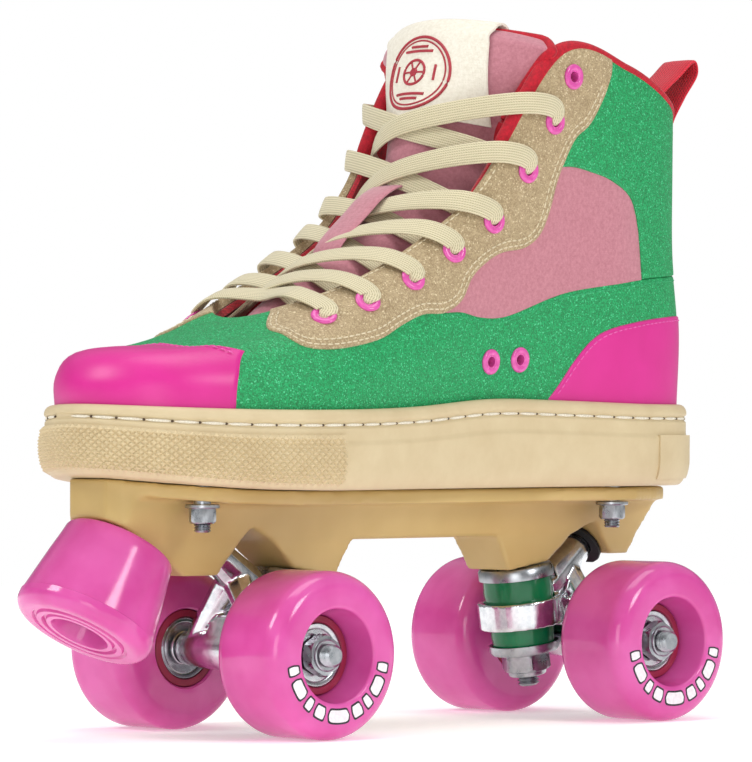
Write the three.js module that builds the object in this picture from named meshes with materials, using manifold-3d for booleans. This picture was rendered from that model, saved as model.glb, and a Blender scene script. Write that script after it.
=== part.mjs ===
// Quad roller skate: a high-top laced boot on a nylon plate with two steering trucks and four wheels.
// Millimetres, +Z up, toe towards -Y. It is a right skate, so its inner side is +X.
import * as THREE from "three";
import { mergeVertices } from "three/addons/utils/BufferGeometryUtils.js";
import Module from "manifold-3d";

const wasm = await Module();
wasm.setup();

// ---------------------------------------------------------------- driving dimensions
const GAP = 0.3; // clearance between pieces that touch
const WHEELBASE = 162.5; // axle to axle
const TRACK = 81; // middle of the left wheel to middle of the right wheel
const WHEEL_DIAMETER = 58;
const WHEEL_WIDTH = 33;
const WHEEL_LIP = 6.4; // rounding of the rolling edge
const WHEEL_SIDES = 24; // flats round the tread, one of them on the floor
const BEARING_BORE = 8;
const BEARING_DIAMETER = 22;
const BEARING_WIDTH = 7;
const BEARING_SPACING = 7; // shoulder between the two bearings of a wheel
const INNER_BEARING_FACE = 15.7; // from the wheel's middle towards the truck
const CORE_WALL = 2.6; // nylon core round the bearings
const AXLE_LENGTH = 110.8;
const AXLE_DIAMETER = BEARING_BORE - 0.2;
const NUT_FLATS = 13; // axle nut, across its flats
const NUT_HEIGHT = 6.4;

const HANGER_RING = { y: -22.95, z: 9.8 }; // ring's middle from the axle, y outward
const KINGPIN_TILT = 9; // degrees, bottom end leaning towards the axle
const KINGPIN_DIAMETER = 8;
const KINGPIN_BELOW = 27.3; // ring's middle to the threaded end
const KINGPIN_ABOVE = 29; // ring's middle to the underside of the head
const STEER_ANGLE = 38.7; // degrees, steering axis above level
const STEER_REACH = 40.3; // ring's middle to the mouth of the pivot cup
const CUSHION_DIAMETER = 25; // the upper one
const LOWER_DIAMETER = 23;
const UPPER_CUSHION = 13.2;
const LOWER_CUSHION = 10.7;
const RING_HEIGHT = 10;
const RING_WALL = 2.6;
const RING_WEB = 3;
const WASHER_THICK = 2.4;
const CUP_RADIUS = 7.3; // pivot cup
const CUP_DEPTH = 10;
const PIN_RADIUS = 4.7; // hanger's pivot pin

const DECK = 56.2; // underside of the sole above the axles
const FLANGE_THICK = 5;
const MOUNT_SPREAD = 49; // mounting bolts, left to right
const FRONT_MOUNT = 33.2; // front bolts ahead of the front axle
const REAR_MOUNT = 0.2; // rear bolts behind the rear axle
const BOLT_DIAMETER = 6;
const BOLT_HEAD = 2; // height of the flat heads inside the sole
const WASHER_RADIUS = 6;

const STOP_TOP = { y: 49.25, z: 37.6 }; // middle of the toe stop's upper face from the front axle
const STOP_TILT = 31; // degrees off upright
const STOP_LENGTH = 35;
const STOP_TOP_RADIUS = 19.5;
const STOP_END_RADIUS = 24.6;

const BOOT_LENGTH = 280; // feather line, toe to heel
const BOOT_WIDTH = 93; // feather line at the ball
const BOOT_HEIGHT = 160; // underside of the sole to the highest point of the collar
const SKIN = 1.6; // outer panels
const LINING = 2.5; // lining with its foam
const SKIN_GAP = 1.1; // glue and slack between panels and lining
const SOLE_LIP = 1.4; // cupsole above the feather line
const SOLE_FLOOR = 14; // cupsole's inside floor above its underside
const TOE_SPRING = 5.5; // rise of the sole's underside at the tip
const EYELET_BORE = 5.2;
const LACE_WIDTH = 7.6;
const LACE_THICK = 1.2;
const TONGUE_THICK = 5;
const LOOP_WIDTH = 16;
const LOOP_THICK = 1.6;

const WHEEL_RADIUS = WHEEL_DIAMETER / 2;
const RAD = Math.PI / 180;

// ---------------------------------------------------------------- materials
function finish(color, roughness, metalness) {
  return new THREE.MeshStandardMaterial({ color, roughness, metalness });
}

const FINISH = {
  urethane: finish(0xe25cb4, 0.25, 0),
  coreNylon: finish(0xc9305f, 0.45, 0),
  steel: finish(0xb9bcc0, 0.3, 1),
  aluminium: finish(0xd3d5d8, 0.22, 1),
  cushion: finish(0x0b7a4b, 0.25, 0),
  cupRubber: finish(0x1b1b1d, 0.6, 0),
  plateNylon: finish(0xc9ae74, 0.5, 0),
  soleRubber: finish(0xdcc39a, 0.6, 0),
  leather: finish(0xe84aa8, 0.4, 0),
  glitter: finish(0x1fa866, 0.6, 0),
  suede: finish(0xb9a27c, 0.9, 0),
  textile: finish(0xc97b92, 0.9, 0),
  lining: finish(0xc8102e, 0.9, 0),
  lace: finish(0xddd3ae, 0.9, 0),
};

// ---------------------------------------------------------------- solids and booleans
function toSolid(geometry) {
  const bare = geometry.index ? geometry.toNonIndexed() : geometry.clone();
  bare.deleteAttribute("normal");
  bare.deleteAttribute("uv");
  const merged = mergeVertices(bare, 1e-4);
  const vertProperties = merged.attributes.position.array;
  const triVerts = new Uint32Array(merged.index.array);
  return new wasm.Manifold(new wasm.Mesh({ numProp: 3, vertProperties, triVerts }));
}

function toGeometry(made) {
  const mesh = made.getMesh();
  const geometry = new THREE.BufferGeometry();
  geometry.setAttribute("position", new THREE.BufferAttribute(mesh.vertProperties, 3));
  geometry.setIndex(new THREE.BufferAttribute(mesh.triVerts, 1));
  return geometry;
}

function join(first, ...others) {
  return toGeometry(others.reduce((made, other) => made.add(toSolid(other)), toSolid(first)));
}

function cut(first, ...others) {
  return toGeometry(others.reduce((made, other) => made.subtract(toSolid(other)), toSolid(first)));
}

function common(first, second) {
  return toGeometry(toSolid(first).intersect(toSolid(second)));
}

// An outline in the two axes that follow the given one (y z for x, z x for y, x y for z), pulled along it.
function pulled(outline, axis, from, to) {
  const shape = new THREE.Shape(outline.map(([a, b]) => new THREE.Vector2(a, b)));
  const made = new THREE.ExtrudeGeometry(shape, { depth: to - from, bevelEnabled: false });
  made.translate(0, 0, from);
  const unit = [new THREE.Vector3(1, 0, 0), new THREE.Vector3(0, 1, 0), new THREE.Vector3(0, 0, 1)];
  const along = "xyz".indexOf(axis);
  made.applyMatrix4(
    new THREE.Matrix4().makeBasis(unit[(along + 1) % 3], unit[(along + 2) % 3], unit[along]),
  );
  return made;
}

// A profile of [radius, height] points, outer side going up, turned about Z.
// The radius is that of the circle inside the flats.
function turned(profile, sides, closed = false) {
  const grow = 1 / Math.cos(Math.PI / sides);
  const points = profile.map(([r, h]) => new THREE.Vector2(r * grow, h));
  if (closed) points.push(points[0].clone());
  const made = new THREE.LatheGeometry(points, sides, Math.PI / sides);
  return made.rotateX(Math.PI / 2);
}

function rod(radius, from, to, sides) {
  return turned([[0, from], [radius, from], [radius, to], [0, to]], sides);
}

function alongX(geometry) {
  return geometry.rotateY(Math.PI / 2);
}

// A tapered round bar between two points.
function bar(start, end, startRadius, endRadius, sides) {
  const from = new THREE.Vector3(...start);
  const run = new THREE.Vector3(...end).sub(from);
  const made = turned([[0, 0], [startRadius, 0], [endRadius, run.length()], [0, run.length()]], sides);
  const turn = new THREE.Quaternion().setFromUnitVectors(new THREE.Vector3(0, 0, 1), run.normalize());
  return made.applyQuaternion(turn).translate(from.x, from.y, from.z);
}

// ---------------------------------------------------------------- scene graph
const skate = new THREE.Group();
const chassis = new THREE.Group();
chassis.position.z = WHEEL_RADIUS;
skate.add(chassis);
const frontTruck = new THREE.Group();
frontTruck.position.y = -WHEELBASE / 2;
frontTruck.rotation.z = Math.PI;
const rearTruck = new THREE.Group();
rearTruck.position.y = WHEELBASE / 2;
chassis.add(frontTruck, rearTruck);
const boot = new THREE.Group();
boot.position.z = DECK;
chassis.add(boot);

function piece(parent, name, geometry, material) {
  const mesh = new THREE.Mesh(geometry, material);
  mesh.name = name;
  parent.add(mesh);
  return mesh;
}

function frame(parent, y, z, tilt) {
  const made = new THREE.Group();
  made.position.set(0, y, z);
  made.rotation.x = tilt * RAD;
  parent.add(made);
  return made;
}

// The matrix of a frame as the plate sees it.
function matrixInChassis(group) {
  skate.updateMatrixWorld(true);
  return chassis.matrixWorld.clone().invert().multiply(group.matrixWorld);
}

// ---------------------------------------------------------------- wheels
const CORE_RADIUS = BEARING_DIAMETER / 2 + CORE_WALL;
const BEARING_SIDES = 16;
const CORE_INNER = -INNER_BEARING_FACE - GAP; // along the axle from the wheel's middle, outward
const CORE_OUTER = -INNER_BEARING_FACE + 2 * BEARING_WIDTH + BEARING_SPACING + GAP;

function tyre() {
  const half = WHEEL_WIDTH / 2;
  const lip = [0, 45, 90].map((degrees) => [
    WHEEL_RADIUS - WHEEL_LIP + WHEEL_LIP * Math.sin(degrees * RAD),
    WHEEL_LIP * (1 - Math.cos(degrees * RAD)),
  ]);
  const seat = CORE_RADIUS + GAP;
  const mouth = seat + 1.6; // the recess opens a little towards the outer face
  const profile = [
    [seat, -half],
    ...lip.map(([r, step]) => [r, -half + step]),
    ...lip.reverse().map(([r, step]) => [r, half - step]),
    [mouth, half],
    [seat, CORE_OUTER + GAP],
  ];
  return turned(profile, WHEEL_SIDES, true);
}

function core() {
  const seat = BEARING_DIAMETER / 2 + 0.1;
  const shoulder = seat - 2;
  const low = -INNER_BEARING_FACE + BEARING_WIDTH + 0.1;
  const high = low + BEARING_SPACING - 0.2;
  const profile = [
    [seat, CORE_INNER],
    [CORE_RADIUS, CORE_INNER],
    [CORE_RADIUS, CORE_OUTER],
    [seat, CORE_OUTER],
    [seat, high],
    [shoulder, high],
    [shoulder, low],
    [seat, low],
  ];
  return turned(profile, BEARING_SIDES, true);
}

function bearing() {
  const outer = BEARING_DIAMETER / 2;
  const inner = BEARING_BORE / 2;
  const half = BEARING_WIDTH / 2;
  return turned([[inner, -half], [outer, -half], [outer, half], [inner, half]], BEARING_SIDES, true);
}

function axleNut() {
  const across = NUT_FLATS / 2;
  const nut = turned([[0, 0], [across, 0], [across, 5], [across - 1.2, NUT_HEIGHT], [0, NUT_HEIGHT]], 6);
  return cut(nut, rod(AXLE_DIAMETER / 2 + 0.1, -1, NUT_HEIGHT + 1, 16));
}

function addWheel(truck, side, label) {
  const wheel = new THREE.Group();
  wheel.position.x = (side * TRACK) / 2;
  wheel.rotation.y = side < 0 ? Math.PI : 0;
  truck.add(wheel);
  piece(wheel, label + "_tyre", alongX(tyre()), FINISH.urethane);
  piece(wheel, label + "_core", alongX(core()), FINISH.coreNylon);
  const first = -INNER_BEARING_FACE + BEARING_WIDTH / 2;
  const second = first + BEARING_WIDTH + BEARING_SPACING;
  piece(wheel, label + "_inner_bearing", alongX(bearing()), FINISH.steel).position.x = first;
  piece(wheel, label + "_outer_bearing", alongX(bearing()), FINISH.steel).position.x = second;
  const seat = second + BEARING_WIDTH / 2 + GAP;
  piece(wheel, label + "_axle_nut", alongX(axleNut()), FINISH.steel).position.x = seat;
}

// ---------------------------------------------------------------- trucks
const KINGPIN_RADIUS = KINGPIN_DIAMETER / 2;
const CUSHION_TOP = RING_WEB / 2 + GAP + UPPER_CUSHION; // along the kingpin from the ring's middle, up
const CUSHION_END = -RING_WEB / 2 - GAP - LOWER_CUSHION;
const UPPER_WASHER = CUSHION_TOP + GAP;
const LOWER_WASHER = CUSHION_END - GAP;
const BOSS_FACE = UPPER_WASHER + WASHER_THICK + GAP;

function cushion(diameter, height) {
  const r = diameter / 2;
  const bore = KINGPIN_RADIUS + 0.5;
  return turned([[bore, 0], [r, 0], [r, height], [bore, height]], 16, true);
}

// A cupped washer with its rim turned over the end of the cushion.
function cupWasher(diameter, rim) {
  const bore = KINGPIN_RADIUS + 0.3;
  const inside = diameter / 2 + 0.4;
  const outside = inside + 1;
  const profile = [[bore, 0], [inside, 0], [inside, -rim], [outside, -rim], [outside, WASHER_THICK]];
  return turned([...profile, [bore, WASHER_THICK]], 20, true);
}

function kingpin() {
  const shank = rod(KINGPIN_RADIUS, -KINGPIN_BELOW, KINGPIN_ABOVE + 0.5, 16);
  return join(shank, rod(6.5, KINGPIN_ABOVE, KINGPIN_ABOVE + 5, 6));
}

function kingpinNut() {
  const nut = turned([[0, -8], [7, -8], [8, -7], [8, 0], [0, 0]], 6);
  return cut(nut, rod(KINGPIN_RADIUS + 0.1, -9, 1, 16));
}

function pivotCup() {
  const r = CUP_RADIUS;
  const lip = r + 1.3;
  const bore = PIN_RADIUS + GAP;
  const profile = [[0, CUP_DEPTH - 1], [bore - 2, CUP_DEPTH - 1], [bore, CUP_DEPTH - 3], [bore, -1.4]];
  profile.push([lip, -1.4], [lip, -0.3], [r, -0.3], [r, CUP_DEPTH], [0, CUP_DEPTH]);
  return turned(profile, 16);
}

// The cast hanger: ring round the kingpin, axle tube, web between them, and the arm to the pivot cup.
function hanger(kingpinMatrix, steerMatrix) {
  const seat = CUSHION_DIAMETER / 2 + GAP;
  const half = RING_HEIGHT / 2;
  const end = TRACK / 2 - INNER_BEARING_FACE - 1.4;
  const { y, z } = HANGER_RING;
  const onSteer = (along) => new THREE.Vector3(0, 0, along - STEER_REACH).applyMatrix4(steerMatrix).toArray();
  const onPin = (geometry) => geometry.applyMatrix4(kingpinMatrix);
  const pinEnd = CUP_DEPTH - 1.6;
  const pin = [[0, -6], [PIN_RADIUS, -6], [PIN_RADIUS, pinEnd - 2.4], [PIN_RADIUS - 1.8, pinEnd], [0, pinEnd]];
  const tube = [[0, -end], [6, -end], [7, -8], [7, 8], [6, end], [0, end]];
  const side = [[y, z - 4.5], [-9, z - 4.5], [-6.5, -3], [3, -5], [6, 3], [2, 12], [y + 12, z + 6.5]];
  const body = join(
    onPin(rod(seat + RING_WALL, -half, half, 20)),
    alongX(turned(tube, 14)),
    pulled([...side, [y, z + 4.5]], "x", -8, 8),
    bar(onSteer(12), onSteer(STEER_REACH - 3), 8, 5.6, 12),
    turned(pin, 12).applyMatrix4(steerMatrix),
    bar(onSteer(27), [5 - end, 1, 2], 5.2, 4, 8),
    bar(onSteer(27), [end - 5, 1, 2], 5.2, 4, 8),
  );
  return cut(
    body,
    onPin(rod(seat, RING_WEB / 2, half + 6, 20)),
    onPin(rod(seat + 2.4, half + 5.5, half + 18, 20)),
    onPin(rod(seat, -half - 6, -RING_WEB / 2, 20)),
    onPin(rod(seat + 1, -half - 20, -half - 4.5, 20)),
    onPin(rod(KINGPIN_RADIUS + 3, -half, half, 12)),
    alongX(rod(AXLE_DIAMETER / 2 + 0.2, -end - 1, end + 1, 16)),
  );
}

function addTruck(truck, label) {
  const pin = frame(truck, HANGER_RING.y, HANGER_RING.z, KINGPIN_TILT);
  const reach = STEER_REACH * Math.cos(STEER_ANGLE * RAD);
  const rise = STEER_REACH * Math.sin(STEER_ANGLE * RAD);
  const steer = frame(truck, HANGER_RING.y + reach, HANGER_RING.z + rise, STEER_ANGLE - 90);
  pin.updateMatrix();
  steer.updateMatrix();
  piece(truck, label + "_hanger", hanger(pin.matrix, steer.matrix), FINISH.aluminium);
  piece(truck, label + "_axle", alongX(rod(AXLE_DIAMETER / 2, -AXLE_LENGTH / 2, AXLE_LENGTH / 2, 16)), FINISH.steel);
  piece(pin, label + "_kingpin", kingpin(), FINISH.steel);
  const upper = piece(pin, label + "_upper_cushion", cushion(CUSHION_DIAMETER, UPPER_CUSHION), FINISH.cushion);
  upper.position.z = CUSHION_TOP - UPPER_CUSHION;
  const lower = piece(pin, label + "_lower_cushion", cushion(LOWER_DIAMETER, LOWER_CUSHION), FINISH.cushion);
  lower.position.z = CUSHION_END;
  const top = piece(pin, label + "_upper_washer", cupWasher(CUSHION_DIAMETER, 2.2), FINISH.steel);
  top.position.z = UPPER_WASHER;
  const bottom = piece(pin, label + "_lower_washer", cupWasher(LOWER_DIAMETER, 1.4), FINISH.steel);
  bottom.position.z = LOWER_WASHER;
  bottom.rotation.x = Math.PI;
  const nut = piece(pin, label + "_kingpin_nut", kingpinNut(), FINISH.steel);
  nut.position.z = LOWER_WASHER - WASHER_THICK - GAP;
  piece(steer, label + "_pivot_cup", pivotCup(), FINISH.cupRubber);
  return { pin, steer };
}

const front = addTruck(frontTruck, "front");
const rear = addTruck(rearTruck, "rear");
addWheel(frontTruck, -1, "front_left");
addWheel(frontTruck, 1, "front_right");
addWheel(rearTruck, 1, "rear_left");
addWheel(rearTruck, -1, "rear_right");

// ---------------------------------------------------------------- plate, toe stop and mounting bolts
// Rise of the sole's underside ahead of the ball, y in the skate's frame.
function spring(y) {
  const ahead = Math.max(0, -y - BOOT_LENGTH / 4) / (BOOT_LENGTH * 0.293);
  return TOE_SPRING * ahead * ahead;
}

const frontY = (outward) => -WHEELBASE / 2 - outward;
const rearY = (outward) => WHEELBASE / 2 + outward;
const NOSE = 63.7; // front face of the plate ahead of the front axle
const TAIL = 33.8; // rear end of the plate behind the rear axle
const PLATE_TOP = DECK - GAP;

// Underside of the plate round one truck, [outward, height] from the arch at the pivot to the middle.
function bossLine() {
  const angle = KINGPIN_TILT * RAD;
  const faceY = HANGER_RING.y - BOSS_FACE * Math.sin(angle);
  const faceZ = HANGER_RING.z + BOSS_FACE * Math.cos(angle);
  const onFace = (d) => [faceY + d * Math.cos(angle), faceZ + d * Math.sin(angle)];
  return [onFace(6.5), onFace(-13.5), [faceY - 20, faceZ + 10.6]];
}

function mouthLine(low) {
  const angle = STEER_ANGLE * RAD;
  const y = HANGER_RING.y + STEER_REACH * Math.cos(angle);
  const z = HANGER_RING.z + STEER_REACH * Math.sin(angle);
  const onMouth = (d) => [y - d * Math.sin(angle), z + d * Math.cos(angle)];
  const drop = (z - low) / Math.cos(angle);
  return [onMouth(-drop), onMouth(10.6)];
}

// Top of the plate from nose to tail, following the sole's underside.
function topLine() {
  const bend = -BOOT_LENGTH / 4;
  const nose = [0, 0.2, 0.4, 0.6, 0.8, 1].map((t) => frontY(NOSE) + t * (bend - frontY(NOSE)));
  return [...nose, rearY(TAIL)].map((y) => [y, PLATE_TOP + spring(y)]);
}

function plateSide() {
  const bossArch = [[-9.2, 38]];
  const frontLow = mouthLine(26.7);
  const rearLow = mouthLine(30.9);
  const toStop = Math.tan(STOP_TILT * RAD);
  const stopFace = (y) => STOP_TOP.z + 0.6 + (y - STOP_TOP.y) * toStop;
  const frontPart = [
    [NOSE, stopFace(NOSE)],
    [STOP_TOP.y + (26.7 - STOP_TOP.z - 0.6) / toStop, 26.7],
    ...frontLow,
    ...bossArch,
    ...bossLine(),
  ].map(([y, z]) => [frontY(y), z]);
  const rearPart = [...bossLine().reverse(), ...bossArch, ...rearLow.reverse(), [21.2, 30.9], [TAIL, 55]];
  const rearPoints = rearPart.map(([y, z]) => [rearY(y), z]);
  return [...frontPart, ...rearPoints, ...topLine().reverse()];
}

function plateOutline() {
  const half = [
    [9.6, frontY(NOSE)],
    [14, frontY(60)],
    [25.5, frontY(45)],
    [31.5, frontY(34)],
    [31.5, frontY(0)],
    [28, frontY(-50)],
    [28, rearY(-50)],
    [30, rearY(-8)],
    [30, rearY(8)],
    [24, rearY(24)],
    [18, rearY(TAIL)],
  ];
  return [...half, ...half.map(([x, y]) => [-x, y]).reverse()];
}

// Section of the plate's body across the skate: narrow at the bosses, wide under the flange.
function plateSection() {
  const half = [[20, 10.4], [38, 12.6], [51, 16.6], [80, 16.6]];
  return [...half.map(([z, x]) => [z, -x]).reverse(), ...half];
}

function flangeSide() {
  const top = topLine();
  return [...top.map(([y, z]) => [y, z - FLANGE_THICK]), ...top.reverse()];
}

const MOUNTS = [
  { label: "front_left", x: MOUNT_SPREAD / 2, y: frontY(FRONT_MOUNT) },
  { label: "front_right", x: -MOUNT_SPREAD / 2, y: frontY(FRONT_MOUNT) },
  { label: "rear_left", x: MOUNT_SPREAD / 2, y: rearY(REAR_MOUNT) },
  { label: "rear_right", x: -MOUNT_SPREAD / 2, y: rearY(REAR_MOUNT) },
];

function boltHoles(from, to) {
  return MOUNTS.map(({ x, y }) => rod(BOLT_DIAMETER / 2 + GAP, from, to, 12).translate(x, y, 0));
}

const stopFrame = frame(frontTruck, STOP_TOP.y, STOP_TOP.z, STOP_TILT);

function plate() {
  const body = common(pulled(plateSide(), "x", -40, 40), pulled(plateSection(), "y", -200, 200));
  const flange = pulled(flangeSide(), "x", -40, 40);
  const made = common(join(body, flange), pulled(plateOutline(), "z", 0, 90));
  const cuts = [front, rear].flatMap(({ pin, steer }) => [
    rod(KINGPIN_RADIUS + 0.15, 0, 60, 16).applyMatrix4(matrixInChassis(pin)),
    rod(8, KINGPIN_ABOVE - GAP, 60, 16).applyMatrix4(matrixInChassis(pin)),
    rod(CUP_RADIUS + 0.15, -3, CUP_DEPTH + GAP, 24).applyMatrix4(matrixInChassis(steer)),
  ]);
  const stopHole = rod(BOLT_DIAMETER / 2 + 1.2, -4, 14, 12).applyMatrix4(matrixInChassis(stopFrame));
  return cut(made, ...cuts, stopHole, ...boltHoles(20, 90));
}

function toeStop() {
  const steps = [0, 45, 90].map((degrees) => [
    STOP_END_RADIUS - 4 + 4 * Math.cos(degrees * RAD),
    -STOP_LENGTH + 4 * (1 - Math.sin(degrees * RAD)),
  ]);
  const profile = [
    [BOLT_DIAMETER / 2 + 1.2, -STOP_LENGTH + 14],
    [9.4, -STOP_LENGTH + 14],
    [10.2, -STOP_LENGTH - 0.6],
    [16, -STOP_LENGTH],
    ...steps.reverse(),
    [STOP_TOP_RADIUS, 0],
    [BOLT_DIAMETER / 2 + 1.2, 0],
  ];
  return turned(profile, 24, true);
}

function stopBolt() {
  const seat = -STOP_LENGTH + 14 - GAP;
  const head = cut(rod(7, seat - 6, seat, 16), rod(3, seat - 7, seat - 3, 6));
  return join(head, rod(BOLT_DIAMETER / 2 + 1, seat - 1, 12, 16));
}

// Mounting bolt with its washer and nut: head inside the sole, nut under the plate's flange.
function mountingBolt(y) {
  const head = DECK + SOLE_FLOOR + GAP;
  const seat = PLATE_TOP + Math.min(spring(y + 8), spring(y)) - FLANGE_THICK - GAP;
  const shank = rod(BOLT_DIAMETER / 2, seat - 9.6, head + 1, 10);
  const washer = rod(WASHER_RADIUS, seat - 1.4, seat, 12);
  return join(shank, rod(7, head, head + BOLT_HEAD, 12), washer, rod(4.9, seat - 6.6, seat - 1.2, 6));
}

piece(chassis, "plate", plate(), FINISH.plateNylon);
piece(stopFrame, "toe_stop", toeStop(), FINISH.urethane);
piece(stopFrame, "toe_stop_bolt", stopBolt(), FINISH.steel);
for (const { label, x, y } of MOUNTS) {
  piece(chassis, label + "_mounting_bolt", mountingBolt(y), FINISH.steel).position.set(x, y, 0);
}

// ---------------------------------------------------------------- boot surface
// The boot is lofted over rings from the feather line, where upper meets sole, to the throat and
// collar. Each row is one station from the toe (0) to the heel (8), for the side towards +X; each
// row's points are [x, y, height above the sole's underside].
const LAST = [
  [[0, -152, 27.3], [0, -151.5, 37.3], [0, -140, 46.3], [0, -108, 50.3], [0, -78, 60.8]],
  [[33, -136, 26.8], [33, -134.5, 37.8], [27, -125, 45.6], [22.5, -99, 51.3], [20, -70, 64.8]],
  [[46.5, -82, 26.3], [46.5, -80, 38.8], [42.5, -72, 50.8], [36.5, -58, 63.8], [29, -45, 74.8]],
  [[42, -35, 27.3], [43, -32, 44.8], [41.5, -27, 62.8], [38, -21, 78.8], [32, -15, 91.8]],
  [[36, 10, 30.3], [37.5, 10, 51.8], [39, 9, 74.8], [40, 7, 94.8], [37, 5, 110.8]],
  [[34, 50, 29.8], [36, 48, 59.8], [38, 45, 92.8], [41, 41, 126.8], [42.5, 38, 157.8]],
  [[34, 85, 28.8], [35, 83, 59.8], [36, 80, 92.8], [38, 77, 123.8], [40, 75, 153.8]],
  [[24, 115, 28.6], [25, 115, 57.8], [25, 112, 86.8], [27, 110, 115.8], [29, 108, 141.8]],
  [[0, 128, 28.4], [0, 129.5, 54.8], [0, 127, 82.8], [0, 125.5, 110.8], [0, 127, 135.8]],
];
const LAST_SIZE = { length: 280, width: 93, height: 160 };
const HEEL = LAST.length - 1;
const ROUND = 2 * HEEL;
const RINGS = LAST[0].length;

function spline(a, b, c, d, t) {
  const bend = 2 * a - 5 * b + 4 * c - d;
  const twist = 3 * b - a - 3 * c + d;
  return 0.5 * (2 * b + (c - a) * t + bend * t * t + twist * t * t * t);
}

function lastPoint(station, ringIndex) {
  const wrapped = ((station % ROUND) + ROUND) % ROUND;
  const side = wrapped > HEEL ? -1 : 1;
  const [x, y, h] = LAST[wrapped > HEEL ? ROUND - wrapped : wrapped][ringIndex];
  return [
    (side * x * BOOT_WIDTH) / LAST_SIZE.width,
    (y * BOOT_LENGTH) / LAST_SIZE.length,
    (h * BOOT_HEIGHT) / LAST_SIZE.height,
  ];
}

const DOWN = 100; // millimetres per unit of level below the feather line

// Sideways curve of a right foot, fading out above the instep.
function footCurve(y, h) {
  const fade = THREE.MathUtils.clamp((125 - h) / 100, 0, 1);
  const shape = y < 0 ? -2.2 + 7.2 * (y / 160) ** 2 : -2.2 + 2.2 * (y / 130) ** 2;
  return fade * shape;
}

// A point of the boot's outside: station 0 to 16 round the boot, level 0 (feather line) to 1 (edge).
// Below the feather line the wall runs straight down into the cupsole.
function bootPoint(station, level) {
  const at = Math.floor(station);
  const t = station - at;
  const rings = [];
  for (let r = 0; r < RINGS; r += 1) {
    const four = [-1, 0, 1, 2].map((step) => lastPoint(at + step, r));
    rings.push([0, 1, 2].map((axis) => spline(...four.map((p) => p[axis]), t)));
  }
  const along = THREE.MathUtils.clamp(level, 0, 1) * (RINGS - 1);
  const row = Math.min(Math.floor(along), RINGS - 2);
  const ends = [row - 1, row, row + 1, row + 2];
  const reach = (index, axis) => {
    if (index < 0) return 2 * rings[0][axis] - rings[1][axis];
    if (index >= RINGS) return 2 * rings[RINGS - 1][axis] - rings[RINGS - 2][axis];
    return rings[index][axis];
  };
  const [x, y, h] = [0, 1, 2].map((axis) =>
    spline(...ends.map((index) => reach(index, axis)), along - row),
  );
  const down = Math.min(level, 0) * DOWN;
  return new THREE.Vector3(x + footCurve(y, h), y, h + down);
}

// The same point moved along the surface's outward normal.
function offPoint(station, level, out) {
  const inside = THREE.MathUtils.clamp(level, 0.002, 0.998);
  const across = bootPoint(station + 0.02, inside).sub(bootPoint(station - 0.02, inside));
  const up = bootPoint(station, inside + 0.002).sub(bootPoint(station, inside - 0.002));
  if (level <= 0) up.set(0, 0, 1);
  const normal = across.cross(up).normalize();
  return bootPoint(station, level).addScaledVector(normal, out);
}

// ---------------------------------------------------------------- closed shells over the boot surface
function meshOf(points, faces) {
  const made = new THREE.BufferGeometry();
  const flat = new Float32Array(points.flatMap((p) => [p.x, p.y, p.z]));
  made.setAttribute("position", new THREE.BufferAttribute(flat, 3));
  made.setIndex(faces);
  return made;
}

// A wall between an outer and an inner grid of points, [column][row], rows going up.
function shell(outer, inner, closedRound) {
  const columns = outer.length;
  const rows = outer[0].length;
  const points = [...outer.flat(), ...inner.flat()];
  const faces = [];
  const O = (i, j) => (i % columns) * rows + j;
  const I = (i, j) => columns * rows + O(i, j);
  const quad = (a, b, c, d) => faces.push(a, b, c, a, c, d);
  const last = closedRound ? columns : columns - 1;
  for (let i = 0; i < last; i += 1) {
    for (let j = 0; j < rows - 1; j += 1) {
      quad(O(i, j), O(i + 1, j), O(i + 1, j + 1), O(i, j + 1));
      quad(I(i, j), I(i, j + 1), I(i + 1, j + 1), I(i + 1, j));
    }
    quad(O(i, 0), I(i, 0), I(i + 1, 0), O(i + 1, 0));
    quad(O(i, rows - 1), O(i + 1, rows - 1), I(i + 1, rows - 1), I(i, rows - 1));
  }
  if (!closedRound) {
    for (let j = 0; j < rows - 1; j += 1) {
      quad(O(0, j), O(0, j + 1), I(0, j + 1), I(0, j));
      quad(O(last, j), I(last, j), I(last, j + 1), O(last, j + 1));
    }
  }
  return meshOf(points, faces);
}

// A curve through [station, level] points.
function seam(points) {
  return (station) => {
    const s = station > HEEL ? ROUND - station : Math.abs(station);
    if (s <= points[0][0]) return points[0][1];
    if (s >= points[points.length - 1][0]) return points[points.length - 1][1];
    const k = points.findIndex(([at]) => at > s) - 1;
    const slope = (i) => {
      const before = points[Math.max(i - 1, 0)];
      const after = points[Math.min(i + 1, points.length - 1)];
      return (after[1] - before[1]) / (after[0] - before[0]);
    };
    const [from, low] = points[k];
    const [to, high] = points[k + 1];
    const run = to - from;
    const t = (s - from) / run;
    const ease = t * t * (3 - 2 * t);
    const start = t * (1 - t) * (1 - t) * slope(k) * run;
    const end = t * t * (t - 1) * slope(k + 1) * run;
    return low + (high - low) * ease + start + end;
  };
}

const TOP_EDGE = 0.985; // panels stop short of the binding
const SEAM = 0.006; // gap between two panels, as a share of the level
const CAP_SIDE = 1.43; // station of the toe cap's rear edge on the side
const CORNER = 0.03; // stations over which the panel behind the cap steps down to the sole
const COUNTER_FRONT = 4.76;
const ARC_END = 6.2; // rear edge of the textile side panel
const ARC_CORNERS = [6.1, 6.17];

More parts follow.
